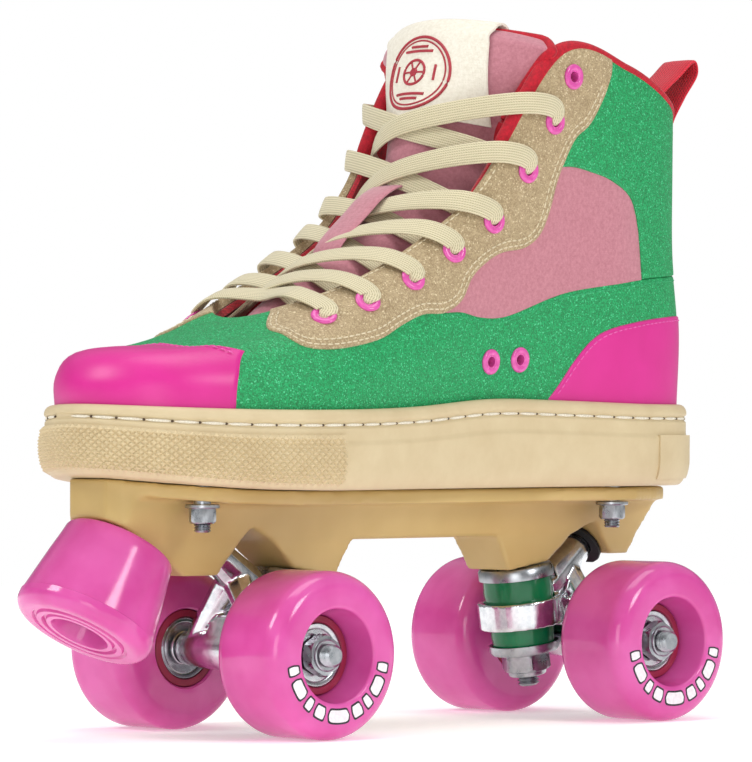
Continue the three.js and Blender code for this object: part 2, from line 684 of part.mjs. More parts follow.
const capEdge = seam([[0, 0.735], [0.76, 0.685], [1.1, 0.6], [1.42, 0.49]]);
const eyestayLow = seam([
  [0.72, TOP_EDGE], [0.92, 0.93], [1.25, 0.8], [1.5, 0.68], [1.8, 0.5], [2, 0.452], [2.3, 0.431],
  [2.55, 0.43], [2.75, 0.46], [3, 0.474], [3.3, 0.442], [3.54, 0.471], [3.66, 0.548], [3.85, 0.582],
  [4.09, 0.581], [4.43, 0.525], [4.64, 0.528], [4.78, 0.577], [4.87, 0.632], [5, 0.68], [5.15, 0.727],
  [5.37, 0.769], [5.57, 0.853], [5.7, 0.94], [5.74, TOP_EDGE],
]);
const quarterTop = seam([
  [3.3, 0.442], [3.55, 0.417], [3.82, 0.367], [4.1, 0.335], [4.36, 0.326], [4.91, 0.329],
  [5.47, 0.342], [6.19, 0.375], [7.15, 0.43], [8, 0.462],
]);
const arc = seam([[4.96, 0.666], [5.36, 0.644], [5.74, 0.631], [6.04, 0.597], [6.15, 0.53], [6.2, 0.44]]);
const counterTop = seam([
  [4.76, 0.012], [4.91, 0.061], [5.11, 0.13], [5.32, 0.186], [5.53, 0.219], [5.92, 0.247],
  [7.15, 0.3], [8, 0.315],
]);

function folded(station) {
  return station > HEEL ? ROUND - station : Math.abs(station);
}

function lowerTop(station) {
  const s = folded(station);
  if (s < 3.3) return eyestayLow(s) - SEAM;
  return quarterTop(s);
}

function lowerBottom(station) {
  const s = folded(station);
  const past = (s - CAP_SIDE) / CORNER + 0.5;
  if (past < 0) return capEdge(s) + SEAM;
  if (past < 1) return (capEdge(CAP_SIDE) + SEAM) * (1 - past);
  if (s > COUNTER_FRONT) return counterTop(s) + SEAM;
  return 0;
}

function ankleBottom(station) {
  const s = folded(station);
  return s < ARC_END ? arc(s) + SEAM : quarterTop(s) + SEAM;
}

const COLUMNS_PER_STATION = 3; // every shell of the boot shares these columns
const COLUMN = 1 / COLUMNS_PER_STATION;

// Column stations from one end to the other, with extra ones where an edge turns a corner.
function columns(from, to, corners = []) {
  const turns = 2 * ROUND * COLUMNS_PER_STATION;
  const shared = Array.from({ length: 2 * turns + 1 }, (_, i) => (i - turns) * COLUMN);
  const even = [from, ...shared.filter((s) => s > from + 0.02 && s < to - 0.02), to];
  return [...even, ...corners].sort((a, b) => a - b);
}

// One panel of the upper between two seams.
function panel(stations, low, high, rows, { out = 0, thick = SKIN, closedRound = false } = {}) {
  const grid = (depth) =>
    stations.map((s) => {
      const bottom = low(s);
      const top = Math.max(high(s), bottom + 0.012);
      return Array.from({ length: rows + 1 }, (_, j) =>
        offPoint(s, bottom + ((top - bottom) * j) / rows, depth),
      );
    });
  return shell(grid(out), grid(out - thick), closedRound);
}

function mirrored(stations) {
  return stations.map((s) => ROUND - s).reverse();
}

// Eyelets from the top pair down to the toe, and the two vents of the inner side.
const EYELETS = [
  [5.14, 0.903], [4.86, 0.809], [4.49, 0.768], [4.01, 0.749],
  [3.36, 0.752], [2.77, 0.72], [2.22, 0.715], [1.8, 0.72],
];
const VENTS = [[4, 0.171], [4.38, 0.157]];

function punch([station, level], radius = EYELET_BORE / 2) {
  const outside = offPoint(station, level, 3).toArray();
  const inside = offPoint(station, level, -SKIN - LINING - 3).toArray();
  return bar(inside, outside, radius, radius, 6);
}

const otherSide = ([station, level]) => [ROUND - station, level];
const LEFT_PUNCHES = EYELETS.map((eyelet) => punch(eyelet));
const RIGHT_PUNCHES = EYELETS.map((eyelet) => punch(otherSide(eyelet)));
const VENT_PUNCHES = VENTS.map((vent) => punch(vent));

const LINING_OUT = -SKIN - SKIN_GAP;
const INSOLE_BASE = SOLE_FLOOR + BOLT_HEAD + 2 * GAP;
const floorLevel = (station) => (INSOLE_BASE - bootPoint(station, 0).z) / DOWN;

function liningShell() {
  const stations = columns(0, ROUND).slice(0, -1);
  const rowsAbove = [0, 0.2, 0.4, 0.55, 0.7, 0.8, 0.9, 1];
  const grid = (depth) =>
    stations.map((s) => [
      offPoint(s, floorLevel(s), depth),
      ...rowsAbove.map((level) => offPoint(s, level, depth)),
    ]);
  const whole = shell(grid(LINING_OUT), grid(LINING_OUT - LINING), true);
  return cut(whole, ...LEFT_PUNCHES, ...RIGHT_PUNCHES, ...VENT_PUNCHES);
}

function eyestay(stations, punches) {
  return cut(panel(stations, eyestayLow, () => TOP_EDGE, 3), ...punches);
}

function lowerPanel() {
  const capCorner = [-0.5, -0.25, 0, 0.25, 0.5].map((step) => CAP_SIDE + step * CORNER);
  const corners = [...capCorner, COUNTER_FRONT - 0.02, COUNTER_FRONT + 0.02];
  const half = columns(0, HEEL - 0.02, corners);
  const other = mirrored(half).map((s) => s - ROUND);
  const stations = [...other.slice(0, -1), ...half];
  return cut(panel(stations, lowerBottom, lowerTop, 5), ...VENT_PUNCHES);
}

function anklePanel() {
  const half = columns(5.02, HEEL, [5.55, 5.71, 5.75, ...ARC_CORNERS, ARC_END - 0.015, ARC_END + 0.015]);
  const stations = [...half, ...mirrored(half).slice(1)];
  const high = (s) => (folded(s) < 5.73 ? eyestayLow(s) - SEAM : TOP_EDGE);
  return panel(stations, ankleBottom, high, 4);
}

const sideStations = columns(3.46, ARC_CORNERS[1], [3.6, 4.84, 5.14, ARC_CORNERS[0]]);
const sideLow = (s) => quarterTop(s) + SEAM;
const sideHigh = (s) => (folded(s) < 4.96 ? eyestayLow(s) : arc(s)) - SEAM;
const eyestayStations = columns(0.78, 5.71, [3.6, 4.84, 5.14, 5.55]);
const capStations = columns(-CAP_SIDE + 0.03, CAP_SIDE - 0.03);
const counterStations = columns(COUNTER_FRONT + 0.03, ROUND - COUNTER_FRONT - 0.03);

piece(boot, "lining_shell", liningShell(), FINISH.lining);
piece(boot, "toe_cap", panel(capStations, () => 0, capEdge, 5), FINISH.leather);
piece(boot, "vamp_and_quarters", lowerPanel(), FINISH.glitter);
piece(boot, "heel_counter", panel(counterStations, () => 0, counterTop, 3), FINISH.leather);
piece(boot, "side_panel_left", panel(sideStations, sideLow, sideHigh, 3), FINISH.textile);
piece(boot, "side_panel_right", panel(mirrored(sideStations), sideLow, sideHigh, 3), FINISH.textile);
piece(boot, "ankle_panel", anklePanel(), FINISH.glitter);
piece(boot, "eyestay_left", eyestay(eyestayStations, LEFT_PUNCHES), FINISH.suede);
piece(boot, "eyestay_right", eyestay(mirrored(eyestayStations), RIGHT_PUNCHES), FINISH.suede);

// ---------------------------------------------------------------- cupsole and insole
// A dish with round walls: rings of [offset, height], from the middle of the underside outwards, up
// and back to the middle of the floor. Each end is closed straight across from side to side.
function dish(rings, count) {
  const stations = Array.from({ length: count }, (_, i) => (i * ROUND) / count);
  const grid = rings.map(({ off, height }) =>
    stations.map((s) => {
      const p = offPoint(s, 0, off);
      return new THREE.Vector3(p.x, p.y, height(s, p));
    }),
  );
  const faces = [];
  const at = (r, i) => r * count + (i % count);
  for (let r = 0; r < rings.length - 1; r += 1) {
    for (let i = 0; i < count; i += 1) {
      faces.push(at(r, i), at(r, i + 1), at(r + 1, i + 1), at(r, i), at(r + 1, i + 1), at(r + 1, i));
    }
  }
  const top = rings.length - 1;
  for (let i = 0; i < count / 2; i += 1) {
    const left = [i, i + 1];
    const right = [(count - i) % count, count - i - 1];
    faces.push(at(0, left[0]), at(0, right[1]), at(0, left[1]));
    if (left[0] !== right[0]) faces.push(at(0, left[0]), at(0, right[0]), at(0, right[1]));
    faces.push(at(top, left[0]), at(top, left[1]), at(top, right[1]));
    if (left[0] !== right[0]) faces.push(at(top, left[0]), at(top, right[1]), at(top, right[0]));
  }
  const used = faces.filter((_, k) => {
    const [a, b, c] = faces.slice(k - (k % 3), k - (k % 3) + 3);
    return a !== b && b !== c && a !== c;
  });
  return meshOf(grid.flat(), used);
}

const feather = (s) => bootPoint(s, 0).z;

function cupsole() {
  const under = (s, p) => spring(p.y);
  const fromLip = (drop) => (s) => feather(s) + SOLE_LIP - drop;
  const rings = [
    { off: 0.2, height: under },
    { off: 3, height: (s, p) => spring(p.y) + 1.8 },
    { off: 5, height: (s, p) => spring(p.y) + 8 },
    { off: 5.3, height: fromLip(12.5) },
    { off: 4.3, height: fromLip(10.6) },
    { off: 4.4, height: fromLip(3.6) },
    { off: 3.2, height: fromLip(1) },
    { off: 1.8, height: fromLip(0) },
    { off: 2 * GAP, height: fromLip(0) },
    { off: 2 * GAP, height: () => SOLE_FLOOR },
  ];
  return cut(dish(rings, ROUND / COLUMN), ...boltHoles(-5, 30));
}

function insole() {
  const off = LINING_OUT - LINING - 2 * GAP;
  const low = INSOLE_BASE;
  const rings = [
    { off, height: () => low },
    { off, height: () => low + 3.5 },
    { off: off - 1, height: () => low + 4.5 },
  ];
  return dish(rings, ROUND / COLUMN);
}

piece(boot, "cupsole", cupsole(), FINISH.soleRubber);
piece(boot, "insole", insole(), FINISH.lining);

// ---------------------------------------------------------------- tongue and its label
// Middle line of the tongue's front face, [y, height above the sole's underside].
const TONGUE_LINE = new THREE.CatmullRomCurve3(
  [[-94, 47], [-80, 52.5], [-66, 63.5], [-45, 77.5], [-15, 95], [-3, 111], [3, 136], [13, 162], [16.5, 167.5]].map(
    ([y, h]) =>
      new THREE.Vector3(0, (y * BOOT_LENGTH) / LAST_SIZE.length, (h * BOOT_HEIGHT) / LAST_SIZE.height),
  ),
);

function tonguePoint(u, w, out) {
  const middle = TONGUE_LINE.getPoint(w);
  const run = TONGUE_LINE.getTangent(w);
  const normal = new THREE.Vector3(0, -run.z, run.y);
  const flare = THREE.MathUtils.smoothstep(w, 0.7, 1);
  const half = (THREE.MathUtils.lerp(20, 27, Math.min(1, 2 * w)) + 9 * flare) * (BOOT_WIDTH / LAST_SIZE.width);
  const sag = THREE.MathUtils.lerp(6, 18, Math.min(1, w * 4));
  return new THREE.Vector3(half * u, middle.y, middle.z).addScaledVector(normal, out - sag * u * u);
}

function tongueSheet(us, ws, out, thick) {
  const grid = (depth) => us.map((u) => ws.map((w) => tonguePoint(u, w, depth)));
  return shell(grid(out), grid(out - thick), false);
}

const across = (from, to, count) =>
  Array.from({ length: count + 1 }, (_, i) => from + ((to - from) * i) / count);

piece(boot, "tongue", tongueSheet(across(-1, 1, 8), across(0, 1, 14), 0, TONGUE_THICK), FINISH.textile);
const label = tongueSheet(across(-0.5, 0.5, 4), across(12 / 14, 1, 2), GAP + 1.2, 1.2);
piece(boot, "tongue_label", label, FINISH.lace);

// ---------------------------------------------------------------- lace
// A flat strap through points, each with the direction its flat side faces.
function strap(path) {
  const points = path.map(({ at }) => at);
  const curve = new THREE.CatmullRomCurve3(points, false, "centripetal");
  const steps = 8;
  const rows = [];
  for (let i = 0; i <= steps; i += 1) {
    const t = i / steps;
    const exact = t * (path.length - 1);
    const k = Math.min(Math.floor(exact), path.length - 2);
    const face = path[k].face.clone().lerp(path[k + 1].face, exact - k).normalize();
    const at = curve.getPoint(t);
    const run = curve.getTangent(t);
    const side = new THREE.Vector3().crossVectors(run, face).normalize();
    const up = new THREE.Vector3().crossVectors(side, run).normalize();
    const corner = (a, b) =>
      at.clone().addScaledVector(side, (a * LACE_WIDTH) / 2).addScaledVector(up, (b * LACE_THICK) / 2);
    rows.push([corner(-1, -1), corner(1, -1), corner(1, 1), corner(-1, 1)]);
  }
  const faces = [];
  const at = (i, j) => i * 4 + (j % 4);
  for (let i = 0; i < steps; i += 1) {
    for (let j = 0; j < 4; j += 1) {
      faces.push(at(i, j), at(i + 1, j + 1), at(i, j + 1), at(i, j), at(i + 1, j), at(i + 1, j + 1));
    }
  }
  faces.push(at(0, 0), at(0, 2), at(0, 3), at(0, 0), at(0, 1), at(0, 2));
  faces.push(at(steps, 0), at(steps, 2), at(steps, 1), at(steps, 0), at(steps, 3), at(steps, 2));
  return meshOf(rows.flat(), faces);
}

const LACE_OVER = LACE_THICK / 2 + 0.8; // strap's middle above the eyestay
const LACE_UNDER = LINING_OUT - LINING - LACE_THICK / 2 - 1.4; // and below the lining

function knot(station, level, out) {
  const at = offPoint(station, level, out);
  const face = offPoint(station, level, out + 1).sub(at).normalize();
  return { at, face };
}

// The station at which a strap crosses the eyestay's edge, a little above its eyelet.
function edgeStation([station, level], rise) {
  const height = bootPoint(station, level).z + rise;
  const miss = (s) => Math.abs(bootPoint(s, 1).z - height);
  return across(station - 1, station, 100).reduce((a, b) => (miss(a) < miss(b) ? a : b));
}

// A spot over the middle of the tongue at a height above the sole's underside.
function bridge(height, lift) {
  const miss = (w) => Math.abs(tonguePoint(0, w, 0).z - height);
  const best = across(0, 1, 200).reduce((a, b) => (miss(a) < miss(b) ? a : b));
  const at = tonguePoint(0, best, lift);
  const face = tonguePoint(0, best, lift + 1).sub(at).normalize();
  return { at, face };
}

// From under one eyestay, across the throat, and over the other eyestay into the next eyelet up.
function crossing(low, high, side) {
  const from = (s) => (side > 0 ? s : ROUND - s);
  const to = (s) => (side > 0 ? ROUND - s : s);
  const leave = edgeStation(low, 9);
  const arrive = edgeStation(high, 7);
  const height = (bootPoint(leave, 1).z + bootPoint(arrive, 1).z) / 2;
  return strap([
    knot(from(low[0]), low[1], LACE_UNDER),
    knot(from(leave), 0.97, LACE_UNDER - 0.6),
    bridge(height, 3.4),
    knot(to(arrive), 1, LACE_OVER + 1.4),
    knot(to(high[0]), high[1], LACE_OVER),
  ]);
}

function firstBar(eyelet) {
  const [station, level] = eyelet;
  const arrive = edgeStation(eyelet, 7);
  return strap([
    knot(station, level, LACE_OVER),
    knot(arrive, 1, LACE_OVER + 1.4),
    bridge(bootPoint(arrive, 1).z, 3.6),
    knot(ROUND - arrive, 1, LACE_OVER + 1.4),
    knot(ROUND - station, level, LACE_OVER),
  ]);
}

function peg([station, level]) {
  const top = offPoint(station, level, LACE_OVER + 0.3).toArray();
  const bottom = offPoint(station, level, LACE_UNDER - 0.3).toArray();
  return bar(bottom, top, 1.7, 1.7, 6);
}

function lace() {
  const laced = EYELETS.slice(1);
  const pegs = laced.flatMap((eyelet) => [peg(eyelet), peg(otherSide(eyelet))]);
  const crossings = laced.slice(1).flatMap((low, i) => [crossing(low, laced[i], 1), crossing(low, laced[i], -1)]);
  return join(firstBar(laced[laced.length - 1]), ...crossings, ...pegs);
}

piece(boot, "lace", lace(), FINISH.lace);

// ---------------------------------------------------------------- pull loop at the heel
const LOOP_SLACK = 0.8; // loop to lining, inside

// Where the lining's inner face lies beside the loop, as [y, height], at a level of the heel.
function besideLoop(level) {
  const wall = across(HEEL - 1, HEEL, 60).map((s) => offPoint(s, level, LINING_OUT - LINING));
  const { y, z } = wall.filter((p) => p.x >= LOOP_WIDTH / 2).pop();
  return [y - LOOP_THICK / 2 - LOOP_SLACK, z];
}

function pullLoop() {
  const collar = bootPoint(HEEL, 1);
  const outside = collar.y + 2 * GAP + LOOP_THICK / 2;
  const [sewnY, sewnZ] = besideLoop(0.9);
  const [topY, topZ] = besideLoop(1);
  const spots = [
    [outside, collar.z - 11],
    [outside + 1, collar.z - 1],
    [outside + 8, collar.z + 10],
    [outside + 15.5, collar.z + 20],
    [outside + 13, collar.z + 24],
    [outside + 6, collar.z + 19],
    [topY + 1, topZ + 6],
    [sewnY, sewnZ],
  ];
  const curve = new THREE.SplineCurve(spots.map(([y, z]) => new THREE.Vector2(y, z)));
  const edge = (side) =>
    across(0, 1, 24).map((t) => {
      const at = curve.getPoint(t);
      const run = curve.getTangent(t);
      return [at.x - (side * run.y * LOOP_THICK) / 2, at.y + (side * run.x * LOOP_THICK) / 2];
    });
  return pulled([...edge(1), ...edge(-1).reverse()], "x", -LOOP_WIDTH / 2, LOOP_WIDTH / 2);
}

piece(boot, "pull_loop", pullLoop(), FINISH.lining);

// The origin goes to the middle of the whole skate's length and width, on the floor.
const box = new THREE.Box3().setFromObject(skate, true);
for (const part of skate.children) {
  part.position.y -= (box.min.y + box.max.y) / 2;
  part.position.x -= (box.min.x + box.max.x) / 2;
}

export default skate;
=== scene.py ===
"""Quad roller skate: the visible model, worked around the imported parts.

Shapes are worked out in millimetres and turned to metres when a mesh is made.
The skate stands on z = 0 with its toe towards -Y; its inner side is +X.
"""
import math

import bmesh
import bpy
import numpy as np
from mathutils import Matrix, Vector


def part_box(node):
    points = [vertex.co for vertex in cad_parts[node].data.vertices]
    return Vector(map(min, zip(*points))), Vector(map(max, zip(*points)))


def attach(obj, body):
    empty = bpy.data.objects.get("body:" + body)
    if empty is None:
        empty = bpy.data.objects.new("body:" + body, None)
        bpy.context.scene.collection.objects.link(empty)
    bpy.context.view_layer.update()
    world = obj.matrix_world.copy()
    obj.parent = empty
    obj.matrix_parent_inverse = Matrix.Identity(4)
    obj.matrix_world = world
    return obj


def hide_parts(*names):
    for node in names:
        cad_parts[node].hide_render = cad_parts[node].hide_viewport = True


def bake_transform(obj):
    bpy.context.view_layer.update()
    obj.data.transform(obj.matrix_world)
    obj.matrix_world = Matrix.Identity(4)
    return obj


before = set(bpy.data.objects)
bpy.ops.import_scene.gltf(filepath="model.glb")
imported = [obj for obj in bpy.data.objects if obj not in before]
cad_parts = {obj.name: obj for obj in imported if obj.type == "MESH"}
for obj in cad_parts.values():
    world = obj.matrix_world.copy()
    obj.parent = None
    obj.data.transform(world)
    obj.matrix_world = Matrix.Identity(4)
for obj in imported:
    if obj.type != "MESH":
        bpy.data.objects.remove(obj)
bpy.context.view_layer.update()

MM = 0.001


def low(node):
    """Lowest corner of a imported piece, in millimetres."""
    return np.array(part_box(node)[0]) / MM


def high(node):
    """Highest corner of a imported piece, in millimetres."""
    return np.array(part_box(node)[1]) / MM


def middle(node):
    """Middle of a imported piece, in millimetres."""
    return (low(node) + high(node)) / 2


AXLE_Y = {"front": middle("front_axle")[1], "rear": middle("rear_axle")[1]}
AXLE_Z = middle("front_axle")[2]
OUTWARD = {"front": -1.0, "rear": 1.0}
BOOT_Y = (AXLE_Y["front"] + AXLE_Y["rear"]) / 2
SOLE_Z = low("cupsole")[2]

# ---------------------------------------------------------------- camera, floor and light
VIEW_AZIMUTH = math.radians(48.128)
VIEW_ELEVATION = math.radians(-0.48)
VIEW_DISTANCE = 1.742583
VIEW_TARGET = Vector((-0.00651, 0.00429, 0.12346))
LENS = 228.49
SENSOR = 36.0
FAR_CLIP = 100
SURROUNDINGS = 0.5  # strength of what metal mirrors; the camera itself sees plain white


def linked(name, data):
    """An object for a mesh, a lamp or a camera, added to the scene."""
    obj = bpy.data.objects.new(name, data)
    bpy.context.scene.collection.objects.link(obj)
    return obj


def look_from(azimuth, elevation, distance, target):
    """Camera place and turn: back along the view direction from the target."""
    back = Vector((
        math.sin(azimuth) * math.cos(elevation),
        -math.cos(azimuth) * math.cos(elevation),
        math.sin(elevation),
    ))
    right = Vector((math.cos(azimuth), math.sin(azimuth), 0))
    up = back.cross(right)
    turn = Matrix((right, up, back)).transposed()
    return Matrix.Translation(target + back * distance) @ turn.to_4x4()


def light(name, place, aim, size, power):
    """A square soft light at a place, turned to a point."""
    lamp = bpy.data.lights.new(name, "AREA")
    lamp.size = size
    lamp.energy = power
    obj = linked(name, lamp)
    obj.location = place
    obj.rotation_euler = (Vector(aim) - Vector(place)).to_track_quat("-Z", "Y").to_euler()


def add_node(tree, kind, inputs=None, stops=(), **settings):
    """One shader node with its settings; an input is a value, another node or one of its outputs.

    stops are a colour ramp's positions with their sRGB hex colours.
    """
    made = tree.nodes.new(kind)
    for key, value in settings.items():
        setattr(made, key, value)
    for key, value in (inputs or {}).items():
        if isinstance(value, bpy.types.Node):
            tree.links.new(value.outputs[0], made.inputs[key])
        elif isinstance(value, bpy.types.NodeSocket):
            tree.links.new(value, made.inputs[key])
        else:
            made.inputs[key].default_value = value
    for index, (position, colour) in enumerate(stops):
        if 0 < index < len(stops) - 1:
            made.color_ramp.elements.new(position)
    for element, (position, colour) in zip(made.color_ramp.elements if stops else (), stops):
        element.position = position
        element.color = linear(colour)
    return made


def linear(hex_colour):
    """An sRGB hex colour as linear red, green, blue and 1."""
    channels = np.array([int(hex_colour[i:i + 2], 16) for i in (1, 3, 5)]) / 255
    low_part = channels / 12.92
    high_part = ((channels + 0.055) / 1.055) ** 2.4
    return (*np.where(channels <= 0.04045, low_part, high_part), 1.0)


def studio():
    """Camera, bright surroundings with a darker band for metal to mirror, and soft lights."""
    camera = bpy.data.cameras.new("camera")
    camera.lens = LENS
    camera.sensor_width = SENSOR
    camera.clip_end = FAR_CLIP
    holder = linked("camera", camera)
    holder.matrix_world = look_from(VIEW_AZIMUTH, VIEW_ELEVATION, VIEW_DISTANCE, VIEW_TARGET)
    bpy.context.scene.camera = holder

    world = bpy.data.worlds.new("studio")
    bpy.context.scene.world = world
    world.use_nodes = True
    tree = world.node_tree
    tree.nodes.clear()
    where = add_node(tree, "ShaderNodeTexCoord")
    split = add_node(tree, "ShaderNodeSeparateXYZ", {0: where.outputs["Generated"]})
    bands = [
        (0.0, "#EDEDED"), (0.1, "#E7E7E7"), (0.28, "#959595"), (0.36, "#999999"), (0.5, "#F9F9F9"),
        (1.0, "#FFFFFF")]
    ramp = add_node(tree, "ShaderNodeValToRGB", {0: split.outputs["Z"]}, stops=bands)
    seen = add_node(tree, "ShaderNodeLightPath")
    plain = add_node(tree, "ShaderNodeBackground", {"Color": (1, 1, 1, 1), "Strength": 1.0})
    lit = add_node(tree, "ShaderNodeBackground", {"Color": ramp.outputs["Color"], "Strength": SURROUNDINGS})
    mix = add_node(tree, "ShaderNodeMixShader", {
        0: seen.outputs["Is Camera Ray"], 1: lit.outputs[0], 2: plain.outputs[0]})
    add_node(tree, "ShaderNodeOutputWorld", {0: mix.outputs[0]})

    light("key", (-0.6, -1.9, 1.7), (0, 0, 0.1), 0.8, 20.5)
    light("side", (2.2, 0.3, 1.2), (0, 0, 0.1), 0.7, 17)
    light("top", (0.2, 0.1, 2.4), (0, 0, 0), 1.6, 23.2)
    light("low_fill", (1.4, -1.5, 0.35), (0, 0, 0.1), 0.8, 6.2)
    bpy.context.scene.view_settings.view_transform = "Standard"


# ---------------------------------------------------------------- meshes
WELD = 0.001  # millimetres within which points of one piece become one
CAST_WELD = 0.01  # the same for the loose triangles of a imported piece
CORD_SIDES = 8


def grid_faces(count_u, count_v, wrap_u=False, wrap_v=False):
    """Quads over a grid of points numbered along v first."""
    u = np.arange(count_u if wrap_u else count_u - 1)[:, None]
    v = np.arange(count_v if wrap_v else count_v - 1)[None, :]
    next_u = (u + 1) % count_u
    next_v = (v + 1) % count_v
    corners = [u * count_v + v, next_u * count_v + v, next_u * count_v + next_v, u * count_v + next_v]
    return np.stack(np.broadcast_arrays(*corners), axis=-1).reshape(-1, 4)


def tube(grid, wrap_u=False):
    """A grid whose rows [u] are closed loops, shut at both ends unless it closes on itself."""
    count_u, count_v = grid.shape[:2]
    faces = [grid_faces(count_u, count_v, wrap_u, True)]
    if not wrap_u:
        j = np.arange(count_v // 2 - 1)
        first = np.stack([j, j + 1, count_v - 2 - j, count_v - 1 - j], axis=-1)
        faces += [first, first[:, ::-1] + (count_u - 1) * count_v]
    return grid.reshape(-1, 3), np.concatenate(faces)


def gathered(parts):
    """Several (points, faces) as one."""
    start = np.cumsum([0] + [len(p) for p, _ in parts[:-1]])
    faces = [f + s for (_, f), s in zip(parts, start)]
    return np.concatenate([p for p, _ in parts]), np.concatenate(faces)


def unit(vectors):
    """Vectors made one long."""
    return vectors / np.maximum(np.linalg.norm(vectors, axis=-1, keepdims=True), 1e-9)


def smoothstep(value, start, stop):
    """0 below start and 1 above stop, with flat ends."""
    t = np.clip((value - start) / (stop - start), 0, 1)
    return t * t * (3 - 2 * t)


def round_angles(count):
    """Evenly spaced angles once round a circle."""
    return np.linspace(0, 2 * np.pi, count, endpoint=False)


def passed(path):
    """Distance passed along a path at each of its points."""
    return np.concatenate([[0], np.cumsum(np.linalg.norm(np.diff(path, axis=0), axis=1))])


def between(at, marks, rows):
    """Rows of numbers read at places between their marks."""
    return np.stack([np.interp(at, marks, rows[:, i]) for i in range(rows.shape[1])], axis=-1)


def mesh_of(name, shape):
    """A mesh from (points, faces) in millimetres."""
    points, faces = shape
    data = bpy.data.meshes.new(name)
    data.from_pydata((points * MM).tolist(), [], faces.tolist())
    return data


def closed(data, weld):
    """A mesh opened for editing, its doubles merged and its faces turned outwards."""
    work = bmesh.new()
    work.from_mesh(data)
    if weld:
        bmesh.ops.remove_doubles(work, verts=work.verts, dist=weld * MM)
    bmesh.ops.recalc_face_normals(work, faces=work.faces)
    return work


def piece(
        name, shape, material, body="chassis", stands_for=(), marks=None, weld=WELD, smooth=50):
    """A finished mesh from (points, faces) in millimetres, riding on a body.

    marks are each point's place in its own cloth, along, across and depth in millimetres.
    """
    data = mesh_of(name, shape)
    if marks is not None:
        layer = data.attributes.new("cloth", "FLOAT_VECTOR", "POINT")
        layer.data.foreach_set("vector", np.asarray(marks, np.float32).ravel())
    return finished(name, data, material, body, stands_for, weld, smooth)


def finished(name, data, material, body, stands_for, weld, smooth):
    """Welds a mesh, turns its faces outwards, smooths edges under an angle and hangs it on its body."""
    work = closed(data, weld)
    sharp = math.radians(smooth)
    for edge in work.edges:
        edge.smooth = len(edge.link_faces) != 2 or edge.calc_face_angle(0) < sharp
    for face in work.faces:
        face.smooth = True
    work.to_mesh(data)
    work.free()
    data.materials.append(material)
    obj = linked(name, data)
    if body:
        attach(obj, body)
    if stands_for:
        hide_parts(*stands_for)
    return obj


def dressed(node, material):
    """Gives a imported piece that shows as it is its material."""
    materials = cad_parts[node].data.materials
    materials.clear()
    materials.append(material)


def evaluated(obj):
    """The object's mesh with its modifiers applied."""
    bpy.context.view_layer.update()
    seen = obj.evaluated_get(bpy.context.evaluated_depsgraph_get())
    return bpy.data.meshes.new_from_object(seen)


def drilled(obj, cutter):
    """Cuts the cutter's closed rods out of a piece and removes the cutter."""
    tool = obj.modifiers.new("holes", "BOOLEAN")
    tool.operation = "DIFFERENCE"
    tool.solver = "EXACT"
    tool.object = cutter
    data = evaluated(obj)
    obj.modifiers.clear()
    obj.data = data
    bpy.data.objects.remove(cutter)


def cast_copy(node, name, material, voxel, rounds, body, extra=None):
    """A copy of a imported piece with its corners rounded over, as a mould leaves them.

    extra is a closed shape in millimetres that is cast in with it.
    """
    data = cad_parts[node].data.copy()
    work = bmesh.new()
    work.from_mesh(data)
    bmesh.ops.remove_doubles(work, verts=work.verts, dist=CAST_WELD * MM)
    if extra:
        added = mesh_of(name + "_added", extra)
        start = len(work.verts)
        work.from_mesh(added)
        bmesh.ops.remove_doubles(work, verts=list(work.verts)[start:], dist=WELD * MM)
        bmesh.ops.recalc_face_normals(work, faces=work.faces)
        bpy.data.meshes.remove(added)
    work.to_mesh(data)
    work.free()
    holder = linked(name + "_work", data)
    remesh = holder.modifiers.new("even", "REMESH")
    remesh.mode = "VOXEL"
    remesh.voxel_size = voxel * MM
    round_over = holder.modifiers.new("round", "SMOOTH")
    round_over.factor = 0.5
    round_over.iterations = rounds
    made = evaluated(holder)
    bpy.data.objects.remove(holder)
    made.materials.clear()
    return finished(name, made, material, body, (node,), 0, 180)


def turned(profile, sides):
    """A profile of [radius, height] carried round the Z axis; a point on the axis makes a pole."""
    r, h = np.array(profile, float).T
    a = round_angles(sides)[:, None]
    grid = np.stack([r * np.cos(a), r * np.sin(a), np.broadcast_to(h, (sides, len(h)))], axis=-1)
    return grid.reshape(-1, 3), grid_faces(sides, len(h), True, False)


def ring_of(profile, sides):
    """A closed profile of [radius, height] carried round the Z axis."""
    points, _ = turned(profile, sides)
    return points, grid_faces(sides, len(profile), True, True)


def hexagon(flats, profile, sides, bored=False):
    """A bar with six flats: each ring is the smaller of the hexagon and the profile's own radius.

    A bored one's profile is closed on itself, so it has a hole down its middle.
    """
    r, h = np.array(profile, float).T
    a = round_angles(sides)[:, None]
    to_flat = (a + np.pi / 6) % (np.pi / 3) - np.pi / 6
    reach = np.minimum(flats / 2 / np.cos(to_flat), r)
    grid = np.stack([reach * np.cos(a), reach * np.sin(a), np.broadcast_to(h, reach.shape)], axis=-1)
    return grid.reshape(-1, 3), grid_faces(sides, len(h), True, bored)


def moved(shape, origin, axis):
    """Puts a shape's Z axis along another axis, with its origin at a point."""
    points, faces = shape
    z = np.array(axis, float) / np.linalg.norm(axis)
    side = np.array([1.0, 0, 0]) if abs(z[0]) < 0.9 else np.array([0, 1.0, 0])
    y = np.cross(z, side)
    y /= np.linalg.norm(y)
    x = np.cross(y, z)
    return points @ np.stack([x, y, z]) + np.array(origin), faces


def arc(centre, radius, start, stop, count=7):
    """Points on a circle between two angles in degrees."""
    a = np.radians(np.linspace(start, stop, count))
    return [[centre[0] + radius * math.cos(t), centre[1] + radius * math.sin(t)] for t in a]


